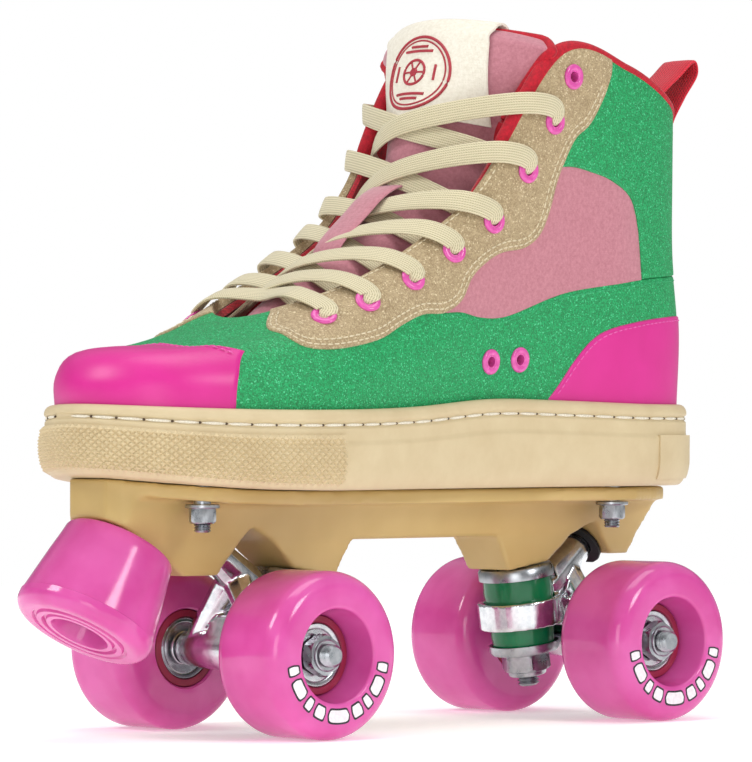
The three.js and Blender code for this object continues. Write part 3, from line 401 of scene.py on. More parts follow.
def threads(radius, start, stop, pitch=1.25, depth=0.8):
    """A threaded stretch of a bar as a saw-toothed profile."""
    count = int(round((stop - start) / pitch))
    marks = np.linspace(start, stop, 2 * count + 1)
    return [[radius - (depth if i % 2 else 0), h] for i, h in enumerate(marks)]


def smooth_path(points, count):
    """A curve through points: cubic pieces whose slope at each point weighs its two neighbours.

    Also gives how far each place is, as a share of the points passed.
    """
    p = np.array(points, float)
    step = np.sqrt(np.linalg.norm(np.diff(p, axis=0), axis=1))
    t = np.concatenate([[0], np.cumsum(step)])
    slope = np.diff(p, axis=0) / step[:, None]
    inner = (slope[:-1] * step[1:, None] + slope[1:] * step[:-1, None]) / (step[:-1] + step[1:])[:, None]
    m = np.concatenate([slope[:1], inner, slope[-1:]])
    at = np.linspace(0, t[-1], count)
    k = np.clip(np.searchsorted(t, at, "right") - 1, 0, len(p) - 2)
    run = step[k][:, None]
    f = (at - t[k])[:, None] / run
    return (
        p[k] * (1 + 2 * f) * (1 - f) ** 2 + m[k] * run * f * (1 - f) ** 2
        + p[k + 1] * f ** 2 * (3 - 2 * f) + m[k + 1] * run * f ** 2 * (f - 1)
    ), (k + f[:, 0]) / (len(p) - 1)


def strap(path, up, width, thick, sides=14, power=4):
    """A flat band along a path: its section is a squared-off ellipse, width across and thick along up.

    Gives the shape and each point's place along, across and through the band.
    """
    run = unit(np.gradient(path, axis=0))
    across = unit(np.cross(run, up))
    out = unit(np.cross(across, run))
    a = round_angles(sides) + np.pi / sides
    reach = (np.abs(np.cos(a)) ** power + np.abs(np.sin(a)) ** power) ** (-1 / power)
    wide = np.broadcast_to(np.asarray(width, float).reshape(-1, 1), (len(path), 1)) / 2
    deep = np.broadcast_to(np.asarray(thick, float).reshape(-1, 1), (len(path), 1)) / 2
    flat = wide * reach * np.cos(a)
    rise = deep * reach * np.sin(a)
    grid = path[:, None] + across[:, None] * flat[..., None] + out[:, None] * rise[..., None]
    marks = np.stack([np.broadcast_to(passed(path)[:, None], flat.shape), flat, rise], axis=-1)
    return tube(grid), marks.reshape(-1, 3)


def cord_along(path, radius, closed_on_itself=False):
    """A round cord along a path."""
    run = unit(np.gradient(path, axis=0))
    guide = np.where(np.abs(run[:, 2:]) > 0.9, [[1.0, 0, 0]], [[0, 0, 1.0]])
    across = unit(np.cross(run, guide))
    out = np.cross(across, run)
    a = round_angles(CORD_SIDES)[:, None]
    grid = path[:, None] + radius * (across[:, None] * np.cos(a) + out[:, None] * np.sin(a))
    return tube(grid, closed_on_itself)


def stitch_row(path, normals, pitch, length, width, height):
    """Thread showing along a path: short pinched pads, each a few faces, sunk at both ends."""
    step = passed(path)
    count = max(int(step[-1] // pitch), 1)
    at = (np.arange(count) + 0.5) * pitch
    spot = between(at, step, path)
    up = unit(between(at, step, normals))
    ahead = between(at + 0.4, step, path)
    run = unit(ahead - spot + 1e-9)
    side = unit(np.cross(run, up))
    along = np.array([-1, -0.6, 0, 0.6, 1]) * length / 2
    swell = np.array([0.25, 0.85, 1, 0.85, 0.25])
    a = round_angles(6)
    local = np.stack([
        np.broadcast_to(along[:, None], (5, 6)),
        swell[:, None] * np.cos(a) * width / 2,
        swell[:, None] * np.sin(a) * height / 2,
    ], axis=-1)
    pads = local.reshape(-1, 3)
    points = spot[:, None] + run[:, None] * pads[:, :1]
    points = points + side[:, None] * pads[:, 1:2] + up[:, None] * pads[:, 2:]
    one = tube(local)[1]
    faces = (one[None] + (np.arange(count) * len(pads))[:, None, None]).reshape(-1, 4)
    return points.reshape(-1, 3), faces


# ---------------------------------------------------------------- materials
def per_metre(size_mm):
    """Pattern scale for grains of a size in millimetres."""
    return 1000 / size_mm


def blank(name):
    """An empty material with its node tree and its object coordinates."""
    made = bpy.data.materials.new(name)
    made.use_nodes = True
    tree = made.node_tree
    tree.nodes.clear()
    return made, tree, add_node(tree, "ShaderNodeTexCoord").outputs["Object"]


def shaded(made, inputs):
    """Closes a material with its principled shader."""
    shader = add_node(made.node_tree, "ShaderNodeBsdfPrincipled", inputs)
    add_node(made.node_tree, "ShaderNodeOutputMaterial", {0: shader})
    return made


def mottled(name, colour, deep, tint, gloss, relief, finish):
    """A finish whose colour, gloss and relief each follow a noise.

    Each starts with its noise: size in millimetres, detail and roughness. Then tint has its two ramp
    stops, gloss its two roughnesses, and relief its depth in millimetres and its strength.
    """
    made, tree, place = blank(name)
    noises = [
        add_node(tree, "ShaderNodeTexNoise", {
            "Vector": place, "Scale": per_metre(size), "Detail": detail, "Roughness": rough})
        for size, detail, rough, *_ in (tint, gloss, relief)]
    shade = add_node(
        tree, "ShaderNodeValToRGB", {0: noises[0]}, stops=[(tint[3], deep), (tint[4], colour)])
    shine = add_node(
        tree, "ShaderNodeMapRange", {"Value": noises[1], "To Min": gloss[3], "To Max": gloss[4]})
    bump = add_node(tree, "ShaderNodeBump", {
        "Height": noises[2], "Distance": relief[3] * MM, "Strength": relief[4]})
    return shaded(made, {"Base Color": shade, "Roughness": shine, "Normal": bump, **finish})


def cast_urethane(name, colour, deep):
    """Poured polyurethane: glossy, faintly cloudy, with light passing a little way under the skin."""
    return mottled(
        name, colour, deep, (22, 3, 0.5, 0.35, 0.6), (1.6, 5, 0.7, 0.08, 0.2), (9, 2, 0.5, 0.05, 0.35), {
            "IOR": 1.5, "Subsurface Weight": 0.12, "Subsurface Scale": 0.004,
            "Subsurface Radius": (1.0, 0.35, 0.6)})


def moulded_nylon(name, colour, deep, rough):
    """Injection-moulded nylon: satin, with slow flow marks and the mould's fine sparked grain."""
    grain = (0.7, 2, 0.5)
    return mottled(
        name, colour, deep, (30, 3, 0.5, 0.3, 0.7), (*grain, rough - 0.07, rough + 0.09),
        (*grain, 0.03, 0.5), {"IOR": 1.53})


def bare_metal(name, colour, dull, rough, grain_mm):
    """Plated, ground or polished metal: a mirror broken by dull clouds and fine tool marks."""
    film = (4, 4, 0.6)
    return mottled(
        name, colour, dull, (*film, 0.3, 0.6), (*film, rough - 0.06, rough + 0.12),
        (grain_mm, 3, 0.5, 0.03, 0.35), {"Metallic": 1.0})


def moulded_rubber(name, colour, deep, rough):
    """Vulcanised rubber off a sand-blasted mould: matt, faintly mottled."""
    grain = (0.5, 2, 0.5)
    return mottled(
        name, colour, deep, (14, 4, 0.6, 0.3, 0.7), (*grain, rough - 0.08, rough + 0.1),
        (*grain, 0.04, 0.5), {"IOR": 1.52})


def fine_finish(name, colour, deep, grain_mm, rough, relief_mm, coat=0.0, glow=0.0):
    """Sewing thread, painted shade in needle holes, baked enamel, print or floor paint: one colour, its
    strands or film a little uneven.
    """
    lay = (grain_mm, 3, 0.5)
    return mottled(
        name, colour, deep, (*lay, 0.3, 0.7), (*lay, rough - 0.07, rough + 0.07), (*lay, relief_mm, 0.5),
        {"Coat Weight": coat, "Emission Color": linear(colour), "Emission Strength": glow})


def coated_leather(name, colour, deep):
    """Split leather under a polyurethane coat: soft gloss, tiny pebbles and shallow creases."""
    made, tree, place = blank(name)
    patches = add_node(tree, "ShaderNodeTexNoise", {"Vector": place, "Scale": per_metre(18), "Detail": 4})
    tint = add_node(tree, "ShaderNodeValToRGB", {0: patches}, stops=[(0.3, deep), (0.7, colour)])
    gloss = add_node(tree, "ShaderNodeMapRange", {"Value": patches, "To Min": 0.34, "To Max": 0.46})
    crease = add_node(tree, "ShaderNodeTexNoise", {
        "Vector": place, "Scale": per_metre(9), "Detail": 4, "Roughness": 0.6})
    folds = add_node(tree, "ShaderNodeBump", {"Height": crease, "Distance": 0.12 * MM, "Strength": 0.4})
    pebble = add_node(tree, "ShaderNodeTexVoronoi", {"Vector": place, "Scale": per_metre(0.9)})
    bump = add_node(tree, "ShaderNodeBump", {
        "Height": pebble, "Distance": 0.03 * MM, "Strength": 0.4, "Normal": folds})
    return shaded(made, {
        "Base Color": tint, "Roughness": gloss, "Normal": bump, "IOR": 1.5,
        "Coat Weight": 0.05, "Coat Roughness": 0.3})


def flecked(name, colour, deep, spark, fleck_mm, share, rough, nap, sheen):
    """Glitter glued on a ground: each fleck has its own tone and tilt, and a share of them carry a painted
    glint, a light spark colour in their base colour.

    Real glitter is 0.2 mm across; it is drawn coarser so that it shows.
    """
    made, tree, place = blank(name)
    flakes = add_node(tree, "ShaderNodeTexVoronoi", {"Vector": place, "Scale": per_metre(fleck_mm)})
    tone = add_node(tree, "ShaderNodeSeparateColor", {0: flakes.outputs["Color"]})
    ground = add_node(tree, "ShaderNodeTexNoise", {
        "Vector": place, "Scale": per_metre(5), "Detail": 6, "Roughness": 0.7})
    shade = add_node(tree, "ShaderNodeMix", {0: nap, 2: tone, 3: ground})
    tint = add_node(tree, "ShaderNodeValToRGB", {0: shade}, stops=[(0.25, deep), (0.75, colour)])
    # Painted glints: this share of flecks takes the light spark colour.
    few = add_node(tree, "ShaderNodeMath", {0: tone.outputs[1], 1: 1 - share}, operation="GREATER_THAN")
    body = add_node(tree, "ShaderNodeMix", {0: few, 6: tint, 7: linear(spark)}, data_type="RGBA")
    gloss = add_node(tree, "ShaderNodeMapRange", {
        "Value": tone.outputs[2], "To Min": rough - 0.2, "To Max": rough + 0.1})
    fuzz = add_node(tree, "ShaderNodeTexNoise", {
        "Vector": place, "Scale": per_metre(0.6), "Detail": 4, "Roughness": 0.8})
    soft = add_node(tree, "ShaderNodeBump", {"Height": fuzz, "Distance": 0.2 * MM, "Strength": 0.5})
    bump = add_node(tree, "ShaderNodeBump", {
        "Height": tone.outputs[1], "Distance": 0.1 * MM, "Strength": 0.5, "Normal": soft})
    return shaded(made, {
        "Base Color": body.outputs[2], "Roughness": gloss, "Normal": bump,
        "Sheen Weight": sheen, "Sheen Roughness": 0.5})


def brushed_cloth(name, colour, deep, thread_mm, sheen=0.4):
    """Brushed cloth: a soft bloom towards its edges, fuzz, and thread crossings just visible."""
    made, tree, place = blank(name)
    fuzz = add_node(tree, "ShaderNodeTexNoise", {
        "Vector": place, "Scale": per_metre(1.4), "Detail": 6, "Roughness": 0.75})
    tint = add_node(tree, "ShaderNodeValToRGB", {0: fuzz}, stops=[(0.3, deep), (0.66, colour)])
    nap = add_node(tree, "ShaderNodeBump", {"Height": fuzz, "Distance": 0.15 * MM, "Strength": 0.6})
    weave = add_node(tree, "ShaderNodeTexVoronoi", {
        "Vector": place, "Scale": per_metre(thread_mm), "Randomness": 0.3})
    bump = add_node(tree, "ShaderNodeBump", {
        "Height": weave, "Distance": 0.12 * MM, "Strength": 0.55, "Normal": nap})
    return shaded(made, {
        "Base Color": tint, "Roughness": 0.88, "Normal": bump,
        "Sheen Weight": sheen, "Sheen Roughness": 0.4})


def woven_band(name, colour, deep, thread_mm):
    """Flat-woven band: ribs slant away from its middle line like herringbone, with warp ridges.

    Reads the band's own cloth place: along and across, in millimetres.
    """
    made, tree, place = blank(name)
    cloth = add_node(tree, "ShaderNodeAttribute", attribute_name="cloth").outputs["Vector"]
    split = add_node(tree, "ShaderNodeSeparateXYZ", {0: cloth})
    side = add_node(tree, "ShaderNodeMath", {0: split.outputs["Y"]}, operation="ABSOLUTE")
    slant = add_node(tree, "ShaderNodeMath", {
        0: side, 1: 0.9, 2: split.outputs["X"]}, operation="MULTIPLY_ADD")
    turns = add_node(tree, "ShaderNodeMath", {
        0: slant, 1: 2 * math.pi / thread_mm}, operation="MULTIPLY")
    rib = add_node(tree, "ShaderNodeMath", {0: turns}, operation="SINE")
    lane = add_node(tree, "ShaderNodeMath", {
        0: split.outputs["Y"], 1: 2 * math.pi / thread_mm}, operation="MULTIPLY")
    warp = add_node(tree, "ShaderNodeMath", {0: lane}, operation="COSINE")
    both = add_node(tree, "ShaderNodeMath", {0: rib, 1: 0.6, 2: warp}, operation="MULTIPLY_ADD")
    height = add_node(tree, "ShaderNodeMapRange", {"Value": both, "From Min": -1.6, "From Max": 1.6})
    tint = add_node(tree, "ShaderNodeValToRGB", {0: height}, stops=[(0.05, deep), (0.6, colour)])
    yarn = add_node(tree, "ShaderNodeBump", {"Height": height, "Distance": 0.16 * MM, "Strength": 0.8})
    fuzz = add_node(tree, "ShaderNodeTexNoise", {
        "Vector": place, "Scale": per_metre(0.6), "Detail": 4, "Roughness": 0.7})
    bump = add_node(tree, "ShaderNodeBump", {
        "Height": fuzz, "Distance": 0.08 * MM, "Strength": 0.5, "Normal": yarn})
    return shaded(made, {"Base Color": tint, "Roughness": 0.85, "Normal": bump, "Sheen Weight": 0.2})


def knitted(name, colour, deep, stitch_mm):
    """Warp-knitted lining: small even stitches, darker between, with a little pile."""
    made, tree, place = blank(name)
    loops = add_node(tree, "ShaderNodeTexVoronoi", {
        "Vector": place, "Scale": per_metre(stitch_mm), "Randomness": 0.25})
    tint = add_node(tree, "ShaderNodeValToRGB", {0: loops}, stops=[(0.2, colour), (0.8, deep)])
    bump = add_node(tree, "ShaderNodeBump", {"Height": loops, "Distance": 0.15 * MM, "Strength": 0.7})
    return shaded(made, {"Base Color": tint, "Roughness": 0.85, "Normal": bump, "Sheen Weight": 0.3})


URETHANE = cast_urethane("cast_urethane", "#D95CA8", "#CE4A98")
CUSHION = cast_urethane("cushion_urethane", "#067A4A", "#04693E")
CORE = moulded_nylon("core_nylon", "#A01F45", "#7E1735", 0.4)
PLATE = moulded_nylon("plate_nylon", "#C8AD70", "#BA9E60", 0.44)
ZINC = bare_metal("zinc_plated_steel", "#B4B7BB", "#8F9499", 0.26, 0.5)
RACE = bare_metal("ground_bearing_steel", "#C8CACD", "#A9ADB2", 0.2, 0.4)
ALUMINIUM = bare_metal("polished_cast_aluminium", "#E4E6E9", "#C2C6CB", 0.16, 2.2)
BLACK_RUBBER = moulded_rubber("black_rubber", "#1E1E20", "#141415", 0.6)
GUM_RUBBER = moulded_rubber("gum_rubber", "#D3C19B", "#CAB68F", 0.55)
LEATHER = coated_leather("coated_leather", "#D7228F", "#CE1C85")
# The light spark flecks of the glitter and of the suede are painted glints.
GLITTER = flecked("glitter_cloth", "#16A862", "#0B7C43", "#4FCB8E", 0.42, 0.05, 0.6, 0.25, 0.0)
SUEDE = flecked("dusted_suede", "#BFAA85", "#957F5C", "#D6C6A2", 0.45, 0.05, 0.85, 0.55, 0.15)
TEXTILE = brushed_cloth("brushed_textile", "#C68590", "#AE6C79", 0.8)
LINING = knitted("knitted_lining", "#D0142F", "#8E0A1C", 0.9)
WEBBING = woven_band("red_webbing", "#D0142F", "#930B20", 1.3)
PIPING = brushed_cloth("red_piping_cloth", "#C90E28", "#900A1E", 0.8, 0.12)
LACE = woven_band("cotton_lace", "#DAD0AF", "#A89D79", 0.9)
LABEL = brushed_cloth("label_canvas", "#F0EBDD", "#DDD6C4", 0.6, 0.1)
# The dark needle-hole colour is painted shade for the stitch holes in the sole's groove.
WHITE_THREAD, TAN_THREAD, PINK_THREAD, GREEN_THREAD, HOLE_SHADE = (
    fine_finish(f"{name}_thread", colour, deep, 0.4, 0.6, 0.05) for name, colour, deep in (
        ("white", "#F4EEDF", "#CFC6B0"), ("tan", "#EADFC4", "#C4B48E"), ("pink", "#EE6CBB", "#C74293"),
        ("green", "#2FB574", "#1B8A54"), ("painted_shade_needle_hole", "#5B4632", "#3B2C1E")))
EYELET_ENAMEL = fine_finish("pink_enamel", "#E65DB2", "#D0489B", 2.5, 0.25, 0.01, 0.4)
WHITE_INK = fine_finish("white_ink", "#F6F2F4", "#E6DEE3", 1.2, 0.4, 0.01)
DARK_INK = fine_finish("dark_ink", "#2A2230", "#1C1622", 1.2, 0.4, 0.01)
RED_INK = fine_finish("red_ink", "#B5303F", "#9C2434", 1.2, 0.5, 0.01)
FLOOR_PAINT = fine_finish("pale_floor_paint", "#FBFBFB", "#F9F9F9", 6, 0.7, 0.01, glow=0.36)

# ---------------------------------------------------------------- boot surface
# Rings round the boot from the feather line, where upper meets sole, to the collar: a row is one
# station from the toe (0) to the heel (8) for the +X side, as [x, y, height above the sole's base].
LAST = np.array([
    [[0, -152, 27.3], [0, -152, 38.8], [0, -142.5, 47.7], [0, -110, 50.6], [0, -78, 60.8]],
    [[31.2, -134, 26.8], [31.4, -133, 38.8], [27.4, -126, 47.2], [22.6, -100, 51.2], [20, -70, 64.8]],
    [[46.5, -82, 26.3], [46.5, -80, 38.8], [42.5, -72, 50.8], [36.5, -58, 63.8], [29, -45, 74.8]],
    [[42, -35, 27.3], [43, -32, 44.8], [41.5, -27, 62.8], [38, -21, 78.8], [32, -15, 91.8]],
    [[36, 10, 30.3], [37.5, 10, 51.8], [39, 9, 74.8], [40, 7, 94.8], [37, 5, 110.8]],
    [[34, 50, 29.8], [36, 48, 59.8], [38, 45, 92.8], [41, 41, 126.8], [42.5, 38, 157.8]],
    [[34, 85, 28.8], [35, 83, 59.8], [36, 80, 92.8], [38, 77, 123.8], [40, 75, 153.8]],
    [[24, 115, 28.6], [25, 115, 57.8], [25, 112, 86.8], [27, 110, 115.8], [29, 108, 141.8]],
    [[0, 128, 28.4], [0, 129.5, 54.8], [0, 127, 82.8], [0, 125.5, 110.8], [0, 127, 135.8]],
], float)
HEEL = 8
ROUND = 16
DOWN = 100  # millimetres per unit of level below the feather line
STEP_ROUND = 0.02
STEP_UP = 0.002
# A right foot's curve: the toe and the heel swing inwards from the waist, less so up the ankle.
TOE_SWING = 7.2
TOE_REACH = 160
HEEL_SWING = 2.2
HEEL_REACH = 130
SWING_TOP = 125
SWING_TOP_FADE = 100


def through(a, b, c, d, t):
    """The cubic from b to c whose slopes there are half of c - a and of d - b."""
    bend = 2 * a - 5 * b + 4 * c - d
    twist = 3 * b - a - 3 * c + d
    return 0.5 * (2 * b + (c - a) * t + bend * t ** 2 + twist * t ** 3)


def last_row(station):
    """The rings at whole-numbered stations, with x turned over on the outer side."""
    wrapped = np.mod(station, ROUND)
    side = np.where(wrapped > HEEL, -1.0, 1.0)
    row = LAST[np.where(wrapped > HEEL, ROUND - wrapped, wrapped)].copy()
    row[..., 0] *= side[..., None]
    return row


def boot(station, level):
    """A place on the boot's outside: cubics round the stations, then up the rings.

    Level 0 is the feather line and 1 the top edge; below 0 the wall runs straight down.
    """
    station, level = np.broadcast_arrays(np.asarray(station, float), np.asarray(level, float))
    whole = np.floor(station).astype(int)
    t = (station - whole)[..., None, None]
    rings = through(*(last_row(whole + step) for step in (-1, 0, 1, 2)), t)
    first = 2 * rings[..., :1, :] - rings[..., 1:2, :]
    final = 2 * rings[..., -1:, :] - rings[..., -2:-1, :]
    rings = np.concatenate([first, rings, final], axis=-2)
    along = np.clip(level, 0, 1) * 4
    row = np.minimum(along.astype(int), 3)
    four = [np.take_along_axis(rings, (row + j)[..., None, None], axis=-2)[..., 0, :] for j in range(4)]
    made = through(*four, (along - row)[..., None])
    x, y, h = made[..., 0], made[..., 1], made[..., 2]
    fade = np.clip((SWING_TOP - h) / SWING_TOP_FADE, 0, 1)
    ends = np.where(y < 0, TOE_SWING * (y / TOE_REACH) ** 2, HEEL_SWING * (y / HEEL_REACH) ** 2)
    curve = ends - HEEL_SWING
    return np.stack([x + fade * curve, y + BOOT_Y, h + SOLE_Z + np.minimum(level, 0) * DOWN], axis=-1)


def boot_out(station, level):
    """The boot's outward direction at a place on it, from a short step round and one up."""
    inside = np.clip(level, STEP_UP, 1 - STEP_UP)
    around = boot(station + STEP_ROUND, inside) - boot(station - STEP_ROUND, inside)
    up = boot(station, inside + STEP_UP) - boot(station, inside - STEP_UP)
    up = np.where(np.asarray(level)[..., None] <= 0, np.array([0, 0, 1.0]), up)
    return unit(np.cross(around, up))


def off_boot(station, level, out):
    """A place moved out from the boot by a distance."""
    station, level = np.broadcast_arrays(np.asarray(station, float), np.asarray(level, float))
    return boot(station, level) + boot_out(station, level) * np.asarray(out, float)[..., None]


def folded(station):
    """The matching station on the inner side."""
    s = np.mod(np.asarray(station, float), ROUND)
    return np.where(s > HEEL, ROUND - s, s)


def seam(*points):
    """A smooth line of [station, level] points over the boot."""
    xs, ys = np.array(points, float).T
    before = np.maximum(np.arange(len(xs)) - 1, 0)
    after = np.minimum(np.arange(len(xs)) + 1, len(xs) - 1)
    slope = (ys[after] - ys[before]) / (xs[after] - xs[before])

    def at(station):
        s = folded(station)
        k = np.clip(np.searchsorted(xs, s, "right") - 1, 0, len(xs) - 2)
        run = xs[k + 1] - xs[k]
        t = np.clip((s - xs[k]) / run, 0, 1)
        ease = t * t * (3 - 2 * t)
        bend = t * (1 - t) ** 2 * slope[k] * run + t * t * (t - 1) * slope[k + 1] * run
        return ys[k] + (ys[k + 1] - ys[k]) * ease + bend
    return at


TOP_EDGE = 0.985
CAP_SIDE = 1.43
COUNTER_FRONT = 4.76
TEXTILE_FRONT = 3.3
ARC_START = 4.96
ARC_END = 6.2
EYESTAY_BACK = 5.72
cap_edge = seam([0, 0.735], [0.76, 0.685], [1.1, 0.6], [1.42, 0.49])
eyestay_low = seam(
    [0.72, TOP_EDGE], [0.92, 0.93], [1.25, 0.8], [1.5, 0.68], [1.8, 0.5], [2, 0.452], [2.3, 0.431],
    [2.55, 0.43], [2.75, 0.46], [3, 0.474], [3.3, 0.442], [3.54, 0.471], [3.66, 0.548], [3.85, 0.582],
    [4.09, 0.581], [4.43, 0.525], [4.64, 0.528], [4.78, 0.577], [4.87, 0.632], [5, 0.68], [5.15, 0.727],
    [5.37, 0.769], [5.57, 0.853], [5.7, 0.94], [5.74, TOP_EDGE])
quarter_top = seam(
    [3.3, 0.442], [3.55, 0.417], [3.82, 0.367], [4.1, 0.335], [4.36, 0.326], [4.91, 0.329],
    [5.47, 0.342], [6.19, 0.375], [7.15, 0.43], [8, 0.462])
side_arc = seam([4.96, 0.666], [5.36, 0.644], [5.74, 0.631], [6.04, 0.597], [6.15, 0.53], [6.2, 0.44])
counter_top = seam(
    [4.76, 0.012], [4.91, 0.061], [5.11, 0.13], [5.32, 0.186], [5.53, 0.219], [5.92, 0.247],
    [7.15, 0.3], [8, 0.315])


def stations_between(first, last, step=0.06, extra=()):
    """Evenly spaced stations with a few extra ones."""
    even = np.linspace(first, last, max(int(round((last - first) / step)), 2) + 1)
    return np.unique(np.concatenate([even, extra]))


def panel(stations, bottom, top, out, thick, rows=18, roll=0.7, wrap=False):
    """A sewn panel between two lines: a wall whose outer corners are rolled over by a quarter circle.

    Each point is the boot's surface moved out; near an edge the outer skin falls by
    roll - sqrt(roll^2 - (roll - distance)^2).
    """
    s = np.asarray(stations, float)[:, None]
    share = 0.5 - 0.5 * np.cos(np.pi * np.linspace(0, 1, rows))
    foot = bottom(s)
    level = foot + np.maximum(top(s) - foot, 0.004) * share
    surface = boot(s, level)
    away = boot_out(np.broadcast_to(s, level.shape), level)
    up = np.cumsum(np.linalg.norm(np.diff(surface, axis=1, prepend=surface[:, :1]), axis=-1), axis=1)
    near = np.minimum(up, up[:, -1:] - up)
    if not wrap:
        ahead = np.cumsum(np.linalg.norm(np.diff(surface, axis=0, prepend=surface[:1]), axis=-1), axis=0)
        near = np.minimum(near, np.minimum(ahead, ahead[-1:] - ahead))
    short = np.clip(roll - near, 0, roll)
    fall = roll - np.sqrt(roll ** 2 - short ** 2)
    outer = surface + away * (out - fall)[..., None]
    inner = surface + away * (out - thick)
    return tube(np.concatenate([outer, inner[:, ::-1]], axis=1), wrap)


def punched(places, radius):
    """Closed rods through the boot's wall at [station, level] places, as one hidden cutter."""
    rod = turned([[0, 0], [radius, 0], [radius, PUNCH_LONG], [0, PUNCH_LONG]], 20)
    rods = []
    for station, level in places:
        inside = off_boot(station, level, -PUNCH_DEEP)
        rods.append(moved(rod, inside, boot_out(np.array(station, float), np.array(level, float))))
    data = mesh_of("punch", gathered(rods))
    work = closed(data, WELD)
    work.to_mesh(data)
    work.free()
    return linked("punch", data)


EYELETS = [
    (5.14, 0.903), (4.86, 0.809), (4.49, 0.768), (4.01, 0.749),
    (3.36, 0.752), (2.77, 0.72), (2.22, 0.715), (1.8, 0.72),
]
VENTS = [(4, 0.171), (4.38, 0.157)]
EYELET_HOLE = 2.4
OUTER_EYELETS = [(ROUND - s, v) for s, v in EYELETS]
PUNCH_DEEP = 12.0
PUNCH_LONG = 17.0


def sewing(name, rows, material, pitch=2.7, length=2.1, width=0.6, height=0.5):
    """Stitches along lines of (places, outward directions)."""
    pads = [stitch_row(path, out, pitch, length, width, height) for path, out in rows]
    piece(name, gathered(pads), material, weld=0)


def level_at(value):
    """A line at one level all along."""
    return lambda s: np.full_like(s, value)


def along_seam(stations, level, out, inset):
    """Places beside a seam line: the line's own place moved up the surface by an inset.

    Up is the outward direction crossed with the line's run, so a negative inset lies below.
    """
    s = np.asarray(stations, float)
    v = level(s)
    places = off_boot(s, v, out)
    away = boot_out(s, v)
    up = unit(np.cross(away, unit(np.gradient(places, axis=0))))
    return places + up * inset, away


def other_side(stations):
    """The matching stations on the outer side, in rising order."""
    return (ROUND - np.asarray(stations, float))[::-1]


# ---------------------------------------------------------------- upper
# Thickness, and how far a piece's face stands out from the boot's surface; FOOT and UNDERLAP are levels.
PANEL_THICK = 2.4
OVERLAY_OUT = 0.6
OVERLAY_THICK = 1.1
STRIP_OUT = 1.1
STRIP_THICK = 0.9
STRIP_HALF = 0.6  # stations
THREAD_OUT = 0.05
LINING_OUT = -2.7
LINING_THICK = 2.5
FOOT = -0.06
EYESTAY_OUT = 0.7
EYESTAY_THICK = 3.2
ANKLE_OUT = 0.25
ANKLE_THICK = 2.6
TEXTILE_OUT = -0.35
TEXTILE_THICK = 2.0
UNDERLAP = 0.05
RING_RADIUS = 3.45
RING_WIDE = 1.2
RING_TALL = 0.8
BINDING_END = 4.24  # station where the binding starts, low on the eyestay
BINDING_IN = 2.3
BINDING_WIDE = 3.1
BINDING_TALL = 1.9
BINDING_TALLER = 0.9  # added down the eyestays


def build_upper():
    """The lining, the sewn panels, their stitching and the eyelets."""
    foot = level_at(FOOT)
    edge = level_at(TOP_EDGE)

    def vamp_top(s):
        lapped = np.minimum(eyestay_low(s) + UNDERLAP, TOP_EDGE)
        return np.where(folded(s) < TEXTILE_FRONT, lapped, quarter_top(s))

    def ankle_low(s):
        return np.where(folded(s) < ARC_END, side_arc(s), quarter_top(s))

    def ankle_top(s):
        lapped = np.minimum(eyestay_low(s) + UNDERLAP, TOP_EDGE)
        return np.where(folded(s) < EYESTAY_BACK, lapped, TOP_EDGE)

    def textile_low(s):
        return quarter_top(s) - UNDERLAP

    def textile_top(s):
        return np.where(folded(s) < ARC_START, eyestay_low(s), side_arc(s)) + UNDERLAP

    def sewn(name, node, shape, material):
        return piece(f"upper_{name}", shape, material, stands_for=(node,))

    around = np.arange(0, ROUND, 0.05)
    vamp = sewn("vamp_and_quarters", "vamp_and_quarters",
                panel(around, foot, vamp_top, 0, PANEL_THICK, 26, wrap=True), GLITTER)
    drilled(vamp, punched(VENTS, EYELET_HOLE))
    cap = stations_between(-CAP_SIDE, CAP_SIDE, 0.02)
    sewn("toe_cap", "toe_cap", panel(cap, foot, cap_edge, OVERLAY_OUT, OVERLAY_THICK, 26),
         LEATHER)
    counter = stations_between(COUNTER_FRONT, ROUND - COUNTER_FRONT)
    sewn("heel_counter", "heel_counter",
         panel(counter, foot, counter_top, OVERLAY_OUT, OVERLAY_THICK, 16), LEATHER)
    ankle = stations_between(ARC_START + 0.01, ROUND - ARC_START - 0.01, 0.04)
    sewn("ankle", "ankle_panel", panel(ankle, ankle_low, ankle_top, ANKLE_OUT, ANKLE_THICK, 22),
         GLITTER)
    textile = stations_between(TEXTILE_FRONT, 6.24, extra=(6.04, 6.15))
    stay = stations_between(0.73, 5.73, 0.04)
    for label, turn, holes in (("left", np.asarray, EYELETS), ("right", other_side, OUTER_EYELETS)):
        sewn(f"side_{label}", f"side_panel_{label}",
             panel(turn(textile), textile_low, textile_top, TEXTILE_OUT, TEXTILE_THICK, 16),
             TEXTILE)
        eyestay = sewn(f"eyestay_{label}", f"eyestay_{label}",
                       panel(turn(stay), eyestay_low, edge, EYESTAY_OUT, EYESTAY_THICK, 20),
                       SUEDE)
        drilled(eyestay, punched(holes, EYELET_HOLE))

    low_edge = (low("lining_shell")[2] - boot(around, 0.0)[:, 2]) / DOWN
    shell = panel(
        around, lambda s: low_edge[:, None], level_at(0.995), LINING_OUT, LINING_THICK, 26, 1.0, True)
    lining = piece("boot_lining", shell, LINING, stands_for=("lining_shell",))
    drilled(lining, punched(EYELETS + OUTER_EYELETS + VENTS, EYELET_HOLE))

    strip = stations_between(HEEL - STRIP_HALF, HEEL + STRIP_HALF, 0.05)
    piece("heel_back_strip", panel(strip, level_at(0.46), level_at(0.95), STRIP_OUT, STRIP_THICK, 24),
          SUEDE)
    sew_upper()
    build_eyelets()


